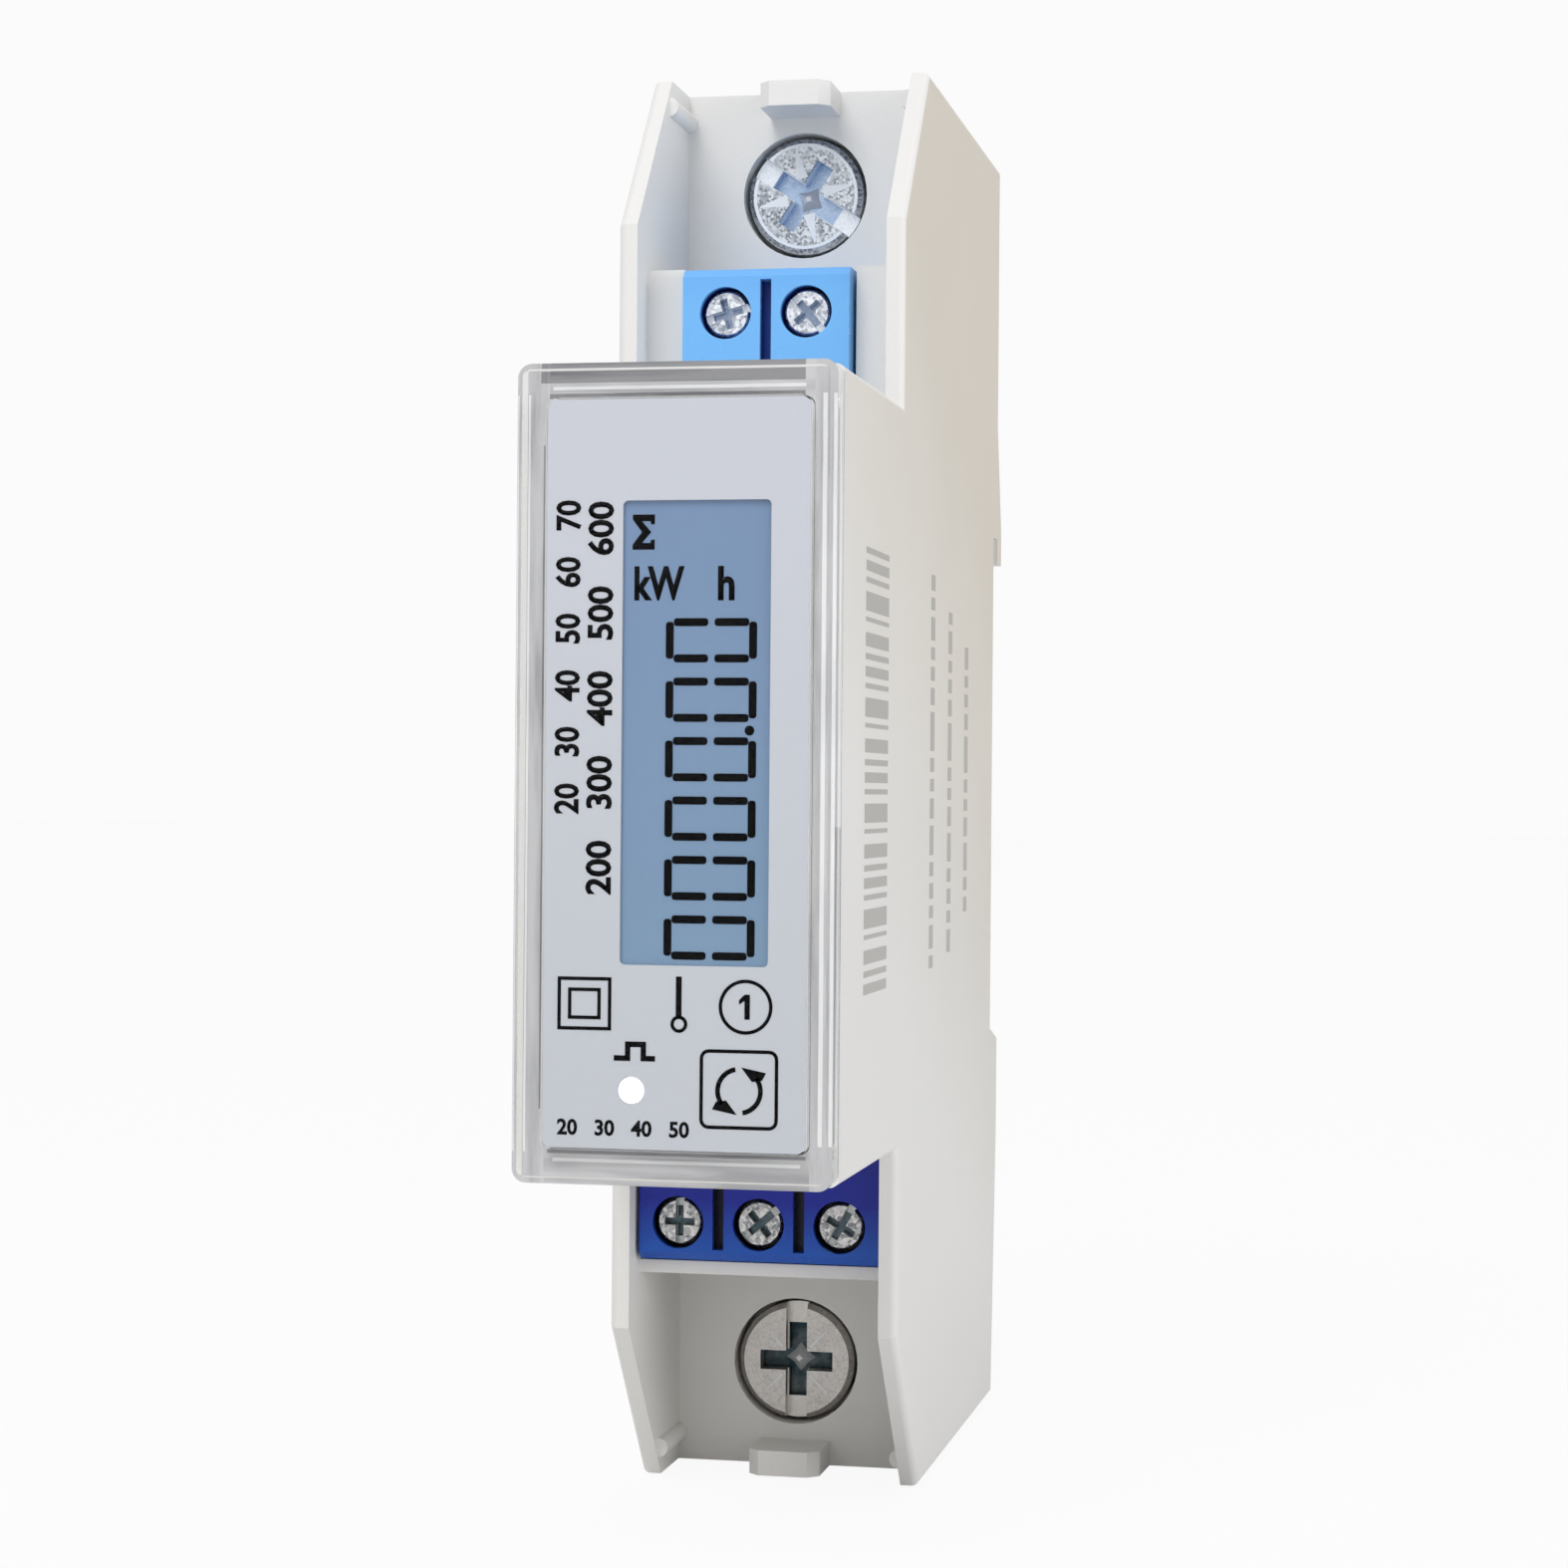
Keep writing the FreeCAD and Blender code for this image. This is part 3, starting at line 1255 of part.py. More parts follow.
def make_signal_terminals():
    """Both blocks with a screw, a cage and a contact for every pole."""
    rows = [
        ("upper", 1, UPPER_POLES, upper_block_half, upper_face, upper_signal_height, (15, -50)),
        ("lower", -1, LOWER_POLES, lower_block_half, lower_face, lower_signal_height, (90, 40, 60)),
    ]
    parts = []
    for row, sign, poles, half_wide, face, screw_z, turns in rows:
        parts.append(make_signal_block(f"{row}_signal_block", sign, poles, half_wide, face, screw_z))
        for number, (pole, degrees) in enumerate(zip(poles, turns), start=1):
            across = D.pole_pitch * pole
            place = (across, sign, face, screw_z)
            parts.append(make_signal_contact(f"{row}_signal_contact_{number}", *place))
            parts.append(make_signal_cage(f"{row}_signal_cage_{number}", *place))
            parts.append(make_signal_screw(f"{row}_signal_screw_{number}", across, sign, screw_z, degrees))
    return parts


# Rail clip
def make_din_clip():
    """Sliding foot with a bevelled nose, a stem, and two spring arms with bumps."""
    body = new_body("din_clip")
    flange = rectangle(*pair(flange_half), clip_end, shoulder)
    pad(body, "XZ_Plane", clip_front, clip_middle, [flange])
    block_low = shoulder - D.nose_length
    side = [
        (clip_front, clip_end),
        (D.clip_back, clip_end),
        (D.clip_back, block_low),
        (nose_back_face, block_low + D.clip_nose),
        (nose_back_face, nose_tip - D.clip_nose),
        (nose_front_face + D.clip_gap, nose_tip),
        (nose_front_face, nose_tip),
        (nose_front_face, -notch_top - D.clip_gap),
        (clip_front, -notch_top - D.clip_gap),
    ]
    pad(body, "YZ_Plane", -core_half, core_half, [side])
    arm_high = shoulder - D.arm_top
    arm_low = clip_end + D.arm_foot
    arm_inside = flange_half - D.arm_width
    slots = [
        rectangle(arm_inside - D.arm_slot, arm_inside, arm_low, arm_high + D.arm_slot),
        rectangle(-arm_inside, -arm_inside + D.arm_slot, arm_low, arm_high + D.arm_slot),
        rectangle(arm_inside, flange_half, arm_high, arm_high + D.arm_slot),
        rectangle(-flange_half, -arm_inside, arm_high, arm_high + D.arm_slot),
    ]
    for slot in slots:
        pocket(body, "XZ_Plane", clip_front, clip_middle, [slot])
    bump = flange_half + D.bump_reach
    bumps = [
        rectangle(flange_half, bump, arm_high - D.bump_length, arm_high),
        rectangle(-bump, -flange_half, arm_high - D.bump_length, arm_high),
    ]
    for outline in bumps:
        pad(body, "XZ_Plane", clip_front, clip_middle, [outline])
    window_low = clip_end + D.tool_slot_inset
    window = rectangle(*pair(D.tool_slot_wide / 2), window_low, window_low + D.tool_slot_tall)
    pocket(body, "XZ_Plane", clip_front, D.clip_back, [window])
    return body


# Build, check and write
def make_meter():
    parts = [make_base_shell(), make_side_lid(), make_clear_cover(), make_face_label(), make_face_carrier()]
    parts += make_display()
    parts += [make_main_board(), make_board_link()]
    parts += make_components()
    parts.append(make_terminal_board("upper_terminal_board", 1, UPPER_POLES))
    parts.append(make_terminal_board("lower_terminal_board", -1, LOWER_POLES))
    parts += [make_busbar("upper_busbar", 1), make_shunt(), make_busbar("lower_busbar", -1)]
    parts += [make_sense_lead("upper_sense_lead", 1), make_sense_lead("lower_sense_lead", -1)]
    parts += [make_main_cage("upper_main_cage", 1), make_main_cage("lower_main_cage", -1)]
    parts += [make_main_screw("upper_main_screw", 1, -33), make_main_screw("lower_main_screw", -1, 90)]
    parts += make_signal_terminals()
    parts.append(make_din_clip())
    return parts


def write_parts(parts):
    """Checks every object of the document, then writes one file per sub-part."""
    doc.recompute()
    for item in doc.Objects:
        if "Invalid" in item.State or "Error" in item.State:
            raise RuntimeError(f"{item.Label} failed: {item.State}")
    for part in parts:
        if part.Shape.isNull() or not part.Shape.isValid():
            raise RuntimeError(f"{part.Label} has no valid shape")
    os.makedirs("parts", exist_ok=True)
    for part in parts:
        part.Shape.exportStep(f"parts/{part.Label}.step")
        print(f"{part.Label}: {len(part.Shape.Solids)} solid, {part.Shape.Volume:.1f} mm3")


write_parts(make_meter())
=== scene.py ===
"""Looks of the one-module rail energy meter: finishes, print, display figures, light and camera."""
import logging
import math
from dataclasses import dataclass, field
from enum import Enum
from typing import Any, Iterable, Sequence

import bmesh
import bpy
from mathutils import Matrix, Vector


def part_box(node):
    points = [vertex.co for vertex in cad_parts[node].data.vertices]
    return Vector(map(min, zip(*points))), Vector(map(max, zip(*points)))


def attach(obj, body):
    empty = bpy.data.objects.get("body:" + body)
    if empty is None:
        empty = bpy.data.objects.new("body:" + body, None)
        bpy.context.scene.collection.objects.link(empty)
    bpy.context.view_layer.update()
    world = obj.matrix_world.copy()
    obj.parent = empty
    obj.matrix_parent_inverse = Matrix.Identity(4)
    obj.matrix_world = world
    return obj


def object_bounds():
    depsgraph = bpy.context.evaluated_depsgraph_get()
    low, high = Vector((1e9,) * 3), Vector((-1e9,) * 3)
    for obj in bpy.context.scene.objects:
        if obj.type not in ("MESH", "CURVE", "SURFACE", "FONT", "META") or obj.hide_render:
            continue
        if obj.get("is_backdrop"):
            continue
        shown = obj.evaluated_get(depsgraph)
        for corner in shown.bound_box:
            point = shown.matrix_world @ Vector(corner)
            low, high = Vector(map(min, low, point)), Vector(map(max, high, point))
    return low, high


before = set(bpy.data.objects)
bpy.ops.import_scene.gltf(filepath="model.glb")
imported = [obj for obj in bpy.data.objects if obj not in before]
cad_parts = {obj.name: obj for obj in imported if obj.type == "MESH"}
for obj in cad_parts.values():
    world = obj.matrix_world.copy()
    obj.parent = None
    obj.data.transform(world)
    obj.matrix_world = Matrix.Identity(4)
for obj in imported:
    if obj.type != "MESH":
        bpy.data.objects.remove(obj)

LOG = logging.getLogger("meter")
MM = 0.001
HOUSING = "housing"

Colour = tuple[float, float, float]
Range = tuple[float, float]
Values = dict[Any, Any]
WHITE: Colour = (1.0, 1.0, 1.0)
ONES, ZEROS = Vector((1, 1, 1)), Vector((0, 0, 0))

# Layers of ever finer spots in a noise.
SMOOTH, PLAIN, RICH = 1.0, 2.0, 3.0

# Colour sockets of a Mix node, which has a set of sockets for each kind of data.
MIX_FIRST, MIX_SECOND, MIX_RESULT = 6, 7, 2


def shade(red: float, green: float, blue: float) -> Colour:
    """Turn a colour written as 0 to 255 into the linear values that shaders take.

    Args:
        red: Red as seen on a screen.
        green: Green as seen on a screen.
        blue: Blue as seen on a screen.

    Returns:
        The linear colour.
    """
    def linear(value: float) -> float:
        """Undo the screen curve for one channel."""
        level = value / 255
        return level / 12.92 if level <= 0.04045 else ((level + 0.055) / 1.055) ** 2.4

    return linear(red), linear(green), linear(blue)


class Wire:
    """One node output that takes part in Python sums."""

    def __init__(self, graph: "Graph", socket: bpy.types.NodeSocket) -> None:
        """Wrap a socket of a graph."""
        self.graph = graph
        self.socket = socket

    def __add__(self, other: Any) -> "Wire":
        """Sum of two values."""
        return self.graph.maths("ADD", self, other)

    def __sub__(self, other: Any) -> "Wire":
        """Difference of two values."""
        return self.graph.maths("SUBTRACT", self, other)

    def __rsub__(self, other: Any) -> "Wire":
        """Difference with a plain number first."""
        return self.graph.maths("SUBTRACT", other, self)

    def __mul__(self, other: Any) -> "Wire":
        """Product of two values."""
        return self.graph.maths("MULTIPLY", self, other)

    __radd__ = __add__
    __rmul__ = __mul__

    def __abs__(self) -> "Wire":
        """Value without its sign."""
        return self.graph.maths("ABSOLUTE", self, 0.0)

    def above(self, level: Any) -> "Wire":
        """One where the value is over a level, and zero elsewhere."""
        return self.graph.maths("GREATER_THAN", self, level)

    def below(self, level: Any) -> "Wire":
        """One where the value is under a level, and zero elsewhere."""
        return self.graph.maths("LESS_THAN", self, level)

    def larger(self, other: Any) -> "Wire":
        """The larger of two values."""
        return self.graph.maths("MAXIMUM", self, other)

    def spread(self, low: float, high: float, start: float = 0.0, end: float = 1.0) -> "Wire":
        """Stretch the range from low to high onto start to end, clamped.

        Args:
            low: Value that becomes start.
            high: Value that becomes end.
            start: New value at low.
            end: New value at high.

        Returns:
            The stretched value.
        """
        values = {"Value": self, "From Min": low, "From Max": high, "To Min": start, "To Max": end}
        return self.graph.out("ShaderNodeMapRange", {"clamp": True}, values, "Result")


class Graph:
    """Node tree of one material or of the world."""

    def __init__(self, owner: bpy.types.Material | bpy.types.World) -> None:
        """Start an empty tree.

        Args:
            owner: What the tree is for.
        """
        self.owner = owner
        self.owner.use_nodes = True
        self.tree = self.owner.node_tree
        self.tree.nodes.clear()

    @classmethod
    def named(cls, name: str) -> "Graph":
        """Start the tree of a new material."""
        return cls(bpy.data.materials.new(name))

    def node(self, kind: str, settings: Values, values: Values) -> bpy.types.Node:
        """Add a node.

        Args:
            kind: Type name of the node.
            settings: Its properties, set first.
            values: A value or a wire for each of its input sockets, by name or number.

        Returns:
            The new node.
        """
        made = self.tree.nodes.new(kind)
        for name, value in settings.items():
            setattr(made, name, value)
        for key, value in values.items():
            socket = made.inputs[key]
            if isinstance(value, Wire):
                self.tree.links.new(value.socket, socket)
            elif isinstance(value, tuple) and socket.type == "RGBA":
                socket.default_value = (*value, 1.0)
            else:
                socket.default_value = value
        return made

    def out(self, kind: str, settings: Values, values: Values, name: Any = 0) -> Wire:
        """Add a node and take one of its outputs."""
        return Wire(self, self.node(kind, settings, values).outputs[name])

    def maths(self, operation: str, first: Any, second: Any) -> Wire:
        """Add a Math node on two values."""
        return self.out("ShaderNodeMath", {"operation": operation}, {0: first, 1: second})

    def place(self, stretch: Vector = ONES, centre: Vector = ZEROS) -> Wire:
        """Object coordinates, moved so that centre is zero and then stretched.

        Args:
            stretch: Factor along each axis.
            centre: Point that becomes zero, in metres.

        Returns:
            The coordinates.
        """
        raw = self.out("ShaderNodeTexCoord", {}, {}, "Object")
        moved = self.out("ShaderNodeVectorMath", {"operation": "SUBTRACT"}, {0: raw, 1: centre})
        return self.out("ShaderNodeVectorMath", {"operation": "MULTIPLY"}, {0: moved, 1: stretch})

    def part(self, place: Wire, axis: str) -> Wire:
        """One of the three coordinates."""
        return self.out("ShaderNodeSeparateXYZ", {}, {0: place}, axis)

    def noise(self, grain: float, detail: float = PLAIN, place: Wire | None = None) -> Wire:
        """Noise with spots of about the size of grain, in metres."""
        values = {"Vector": place or self.place(), "Scale": 1 / grain, "Detail": detail}
        return self.out("ShaderNodeTexNoise", {}, values, "Fac")

    def crystals(self, grain: float) -> Wire:
        """Flat-sided spots of about the size of grain, each with a level of its own."""
        values = {"Vector": self.place(), "Scale": 1 / grain}
        cell = self.out("ShaderNodeTexVoronoi", {}, values, "Color")
        return self.out("ShaderNodeSeparateColor", {}, {0: cell}, "Red")

    def climb(self, uneven: Wire, heights: Range) -> Wire:
        """Blend that grows from one height to another, where the height is made uneven."""
        return (self.part(self.place(), "Z") + uneven).spread(*heights)

    def mix(self, factor: Any, first: Any, second: Any) -> Wire:
        """Blend two colours."""
        values = {"Factor": factor, MIX_FIRST: first, MIX_SECOND: second}
        return self.out("ShaderNodeMix", {"data_type": "RGBA"}, values, MIX_RESULT)

    def relief(self, height: Wire, depth: float) -> Wire:
        """Normal of a surface with a relief of this depth in metres."""
        values = {"Strength": 1.0, "Distance": depth, "Height": height}
        return self.out("ShaderNodeBump", {}, values)

    def surface(self, values: Values) -> Wire:
        """Principled shader."""
        return self.out("ShaderNodeBsdfPrincipled", {}, values)

    def close(self, shader: Wire) -> Any:
        """Send the shader to the output.

        Args:
            shader: Shader of the surface or of the surroundings.

        Returns:
            The owner of the tree.
        """
        kind = "World" if isinstance(self.owner, bpy.types.World) else "Material"
        self.node("ShaderNodeOutput" + kind, {}, {"Surface": shader})
        return self.owner


@dataclass(frozen=True)
class Finish:
    """What every finish has: a name, the slot that it fills and values for the surface shader."""

    name: str
    slot: str

    def sockets(self, graph: Graph) -> Values:
        """Socket values of the surface shader, which each kind of finish works out."""
        raise NotImplementedError

    def material(self) -> bpy.types.Material:
        """Build the node material."""
        graph = Graph.named(self.name)
        return graph.close(graph.surface(self.sockets(graph)))


@dataclass(frozen=True)
class Moulded(Finish):
    """Moulded plastic with a fine eroded grain and slight unevenness of colour and gloss."""

    colour: Colour
    low_colour: Colour
    roughness: float = 0.42
    grain: float = 0.00022
    depth: float = 0.000012
    gloss: float = 0.4
    cloud: float = 0.018
    cloud_gloss: float = 0.12
    grain_gloss: float = 0.06
    drift: float = 0.02
    heights: Range = (-0.02, 0.04)
    detail: float = RICH

    def tone(self, graph: Graph, cloud: Wire) -> Wire:
        """Colour over the surface, which changes with height."""
        climb = graph.climb(cloud * self.drift, self.heights)
        return graph.mix(climb, self.low_colour, self.colour)

    def sockets(self, graph: Graph) -> Values:
        """Shader of the plastic.

        Args:
            graph: Its node tree.

        Returns:
            Its socket values.
        """
        cloud = graph.noise(self.cloud, self.detail)
        fine = graph.noise(self.grain, self.detail)
        least = self.roughness - (self.cloud_gloss + self.grain_gloss) / 2
        return {
            "Base Color": self.tone(graph, cloud),
            "Roughness": (cloud * self.cloud_gloss + fine * self.grain_gloss) + least,
            "Normal": graph.relief(fine, self.depth),
            "Specular IOR Level": self.gloss,
        }


@dataclass(frozen=True)
class SidePlate(Moulded):
    """Plastic of the side plate, whose outer face is darker and beige towards its top and back:
    painted shade.
    """

    drift: float = 0.01
    face: float = 0.00896
    shaded_outer_colour: Colour = (0.64, 0.585, 0.5)
    beige_shade: Range = (0.003, 0.055)
    depth_share: float = 0.6
    front: float = 0.06

    def tone(self, graph: Graph, cloud: Wire) -> Wire:
        """Colour over the plate, with painted shade towards the top and back of its outer face.

        Args:
            graph: Tree that the nodes are added to.
            cloud: Noise that makes the blend uneven.

        Returns:
            The colour.
        """
        place = graph.place()
        across, depth, height = (graph.part(place, axis) for axis in "XYZ")
        fade = height + (depth + self.front) * self.depth_share + cloud * self.drift
        # Painted shade: the outer face turns darker and beige towards its top and back.
        beige_shade = fade.spread(*self.beige_shade) * across.above(self.face)
        return graph.mix(beige_shade, self.colour, self.shaded_outer_colour)


@dataclass(frozen=True)
class Film(Moulded):
    """Printed plastic film with a soft sheen."""

    roughness: float = 0.38
    grain: float = 0.0003
    depth: float = 0.000006
    gloss: float = 0.3
    cloud: float = 0.012
    cloud_gloss: float = 0.0
    grain_gloss: float = 0.08
    drift: float = 0.008
    heights: Range = (-0.012, 0.02)
    detail: float = PLAIN


@dataclass(frozen=True)
class PaintedRefraction(Finish):
    """Painted refraction: light and grey streaks painted along the edges of clear plastic, in place
    of the light bent and reflected in its walls.
    """

    colour: Colour
    dark: Colour
    streak: float = 0.0009
    squeeze: float = 0.1
    side: float = 0.0075
    tones: Range = (0.32, 0.62)
    roughness: float = 0.2
    tone_gloss: float = 0.2
    depth: float = 0.00003

    def sockets(self, graph: Graph) -> Values:
        """Shader of the streaks.

        Args:
            graph: Its node tree.

        Returns:
            Its socket values.
        """
        upright = abs(graph.part(graph.place(), "X")).above(self.side)
        along = graph.noise(self.streak, RICH, graph.place(Vector((1, 1, self.squeeze))))
        across = graph.noise(self.streak, RICH, graph.place(Vector((self.squeeze, 1, 1))))
        tone = (upright * along + (1 - upright) * across).spread(*self.tones)
        return {
            "Base Color": graph.mix(tone, self.dark, self.colour),
            "Roughness": tone * self.tone_gloss + self.roughness,
            "Normal": graph.relief(tone, self.depth),
        }


@dataclass(frozen=True)
class PoleBlock(Finish):
    """Glossy plastic of a signal block, with painted shade inside its screw openings and slots and
    towards its top.
    """

    colour: Colour
    shaded_top_colour: Colour
    hollow_shade_colour: Colour
    # Heights over which the painted shade at the top of the block grows.
    edge: Range
    slots: Range
    pole_start: float
    screw_height: float
    slot_limit: float = 0.0044
    block_front: float = -0.0387
    pitch: float = 0.00508
    hole_radius: float = 0.00166
    slot_half: float = 0.00037
    hollow_shade: Range = (0.0001, 0.0006)
    cloud: float = 0.004
    cloud_tone: float = 0.06
    cloud_gloss: float = 0.15
    roughness: float = 0.2
    grain: float = 0.0004
    depth: float = 0.00001
    gloss: float = 0.3

    def sockets(self, graph: Graph) -> Values:
        """Shader of the block.

        Args:
            graph: Its node tree.

        Returns:
            Its socket values.
        """
        place = graph.place(centre=Vector((self.pole_start, self.block_front, self.screw_height)))
        across, depth, up = (graph.part(place, axis) for axis in "XYZ")
        wrap = {0: across, 1: self.pitch / 2, 2: -self.pitch / 2}
        beside = graph.out("ShaderNodeMath", {"operation": "WRAP"}, wrap)
        in_hole = graph.maths("SQRT", beside * beside + up * up, 0.0).below(self.hole_radius)
        height = up + self.screw_height
        slot_band = height.above(self.slots[0]) * height.below(self.slots[1])
        near_middle = abs(across + self.pole_start).below(self.slot_limit)
        in_slot = abs(beside).above(self.pitch / 2 - self.slot_half) * slot_band * near_middle
        # Painted shade deep inside the screw openings and slots.
        hollow_shade = in_hole.larger(in_slot) * depth.spread(*self.hollow_shade)
        cloud = graph.noise(self.cloud, RICH)
        # Painted shade: darker towards the top of the block.
        edge = height.spread(*self.edge) + cloud * self.cloud_tone
        face = graph.mix(edge, self.colour, self.shaded_top_colour)
        return {
            "Base Color": graph.mix(hollow_shade, face, self.hollow_shade_colour),
            "Roughness": cloud * self.cloud_gloss + self.roughness,
            "Normal": graph.relief(graph.noise(self.grain), self.depth),
            "Specular IOR Level": self.gloss,
        }


@dataclass(frozen=True)
class Clear(Finish):
    """Clear moulded plastic, with faint flow lines."""

    colour: Colour
    flow: float = 0.009
    squeeze: float = 0.25
    levels: Range = (0.3, 0.7)
    roughness: float = 0.05
    depth: float = 0.00003
    index: float = 1.45
    glint: float = 0.06

    def sockets(self, graph: Graph) -> Values:
        """Shader of the clear plastic.

        Args:
            graph: Its node tree.

        Returns:
            Its socket values.
        """
        flow = graph.noise(self.flow, SMOOTH, graph.place(Vector((1, 1, self.squeeze))))
        return {
            "Base Color": self.colour,
            "Roughness": flow.spread(*self.levels, 0.0, self.roughness),
            "Normal": graph.relief(flow, self.depth),
            "Transmission Weight": 1.0,
            "IOR": self.index,
            "Specular Tint": (self.glint, self.glint, self.glint),
        }


@dataclass(frozen=True)
class Plated(Finish):
    """Plated or bare sheet metal with faint crystal sparkle and pressing marks."""

    colour: Colour
    dark: Colour
    roughness: float = 0.17
    grain: float = 0.00028
    depth: float = 0.00004
    cloud: float = 0.0016
    flake_tone: float = 0.55
    cloud_tone: float = 0.6
    tones: Range = (0.3, 0.95)
    flake_gloss: float = 0.18
    flake_relief: float = 0.5

    def sockets(self, graph: Graph) -> Values:
        """Shader of the metal.

        Args:
            graph: Its node tree.

        Returns:
            Its socket values.
        """
        flakes = graph.crystals(self.grain)
        cloud = graph.noise(self.cloud, RICH)
        tone = (flakes * self.flake_tone + cloud * self.cloud_tone).spread(*self.tones)
        return {
            "Base Color": graph.mix(tone, self.dark, self.colour),
            "Metallic": 1.0,
            "Roughness": flakes * self.flake_gloss + self.roughness,
            "Normal": graph.relief(flakes * self.flake_relief + cloud, self.depth),
        }


@dataclass(frozen=True, kw_only=True)
class ScrewFace(Plated):
    """Zinc plate on a screw head: grainy face, with painted light and shade on the walls of the
    cross and deep in it.
    """

    slot_shading_colour: Colour
    well_shading_colour: Colour
    head_front: float
    slot_start: float
    well_start: float
    well_end: float
    slot_soft: float = 0.4
    well_soft: float = 0.75
    well_shading_cloud: float = 0.5
    well_shading_least: float = 0.7
    roughness: float = 0.24
    grain: float = 0.00016
    depth: float = 0.00003
    cloud: float = 0.0011
    flake_tone: float = 0.7
    cloud_tone: float = 0.5
    tones: Range = (0.25, 0.85)
    flake_gloss: float = 0.16
    flake_relief: float = 0.6

    def sockets(self, graph: Graph) -> Values:
        """Shader of the head.

        Args:
            graph: Its node tree.

        Returns:
            Its socket values.
        """
        values = super().sockets(graph)
        depth = graph.part(graph.place(centre=Vector((0, self.head_front, 0))), "Y")
        # Painted light and shade by depth in the cross: the slot colour on its walls, the well
        # colour deep in it.
        in_slot = depth.spread(self.slot_start * self.slot_soft, self.slot_start)
        in_well = depth.spread(self.well_start * self.well_soft, self.well_start)
        well_shading_patches = graph.noise(self.cloud, RICH) * self.well_shading_cloud + self.well_shading_least
        upper = graph.mix(in_slot, values["Base Color"], self.slot_shading_colour)
        well = in_well * depth.below(self.well_end) * well_shading_patches
        values["Base Color"] = graph.mix(well, upper, self.well_shading_colour)
        return values


@dataclass(frozen=True)
class Lacquer(Finish):
    """Board lacquer over faint copper tracks."""

    colour: Colour
    track: Colour
    stretch: float = 700.0
    wander: float = 6.0
    track_level: float = 0.62
    track_share: float = 0.6
    cloud: float = 0.002
    cloud_gloss: float = 0.1
    roughness: float = 0.3
    depth: float = 0.00003

    def sockets(self, graph: Graph) -> Values:
        """Shader of the board.

        Args:
            graph: Its node tree.

        Returns:
            Its socket values.
        """
        values = {"Vector": graph.place(ONES * self.stretch), "Distortion": self.wander}
        bands = graph.out("ShaderNodeTexWave", {"bands_direction": "DIAGONAL"}, values, "Fac")
        lines = bands.above(self.track_level)
        return {
            "Base Color": graph.mix(lines * self.track_share, self.colour, self.track),
            "Roughness": graph.noise(self.cloud) * self.cloud_gloss + self.roughness,
            "Normal": graph.relief(lines, self.depth),
        }


@dataclass(frozen=True)
class Glow(Finish):
    """Milky plastic that glows by itself; on the light guide, which is no lamp, the glow is painted
    light.
    """

    colour: Colour
    level: float
    cloud: float = 0.0008
    cloud_gloss: float = 0.1
    cloud_tone: float = 0.05
    roughness: float = 0.3

    def sockets(self, graph: Graph) -> Values:
        """Shader of the plastic.

        Args:
            graph: Its node tree.

        Returns:
            Its socket values.
        """
        cloud = graph.noise(self.cloud)
        return {
            "Base Color": self.colour,
            "Roughness": cloud * self.cloud_gloss + self.roughness,
            "Emission Color": graph.mix(cloud * self.cloud_tone, self.colour, WHITE),
            "Emission Strength": self.level,
        }


MAIN_HEAD = {"head_front": -0.0261, "slot_start": 0.0005, "well_start": 0.0013, "well_end": 0.00185}
SIGNAL_HEAD = {
    "head_front": -0.0382, "slot_start": 0.00035, "well_start": 0.0008, "well_end": 0.00105,
    "grain": 0.0002,
}


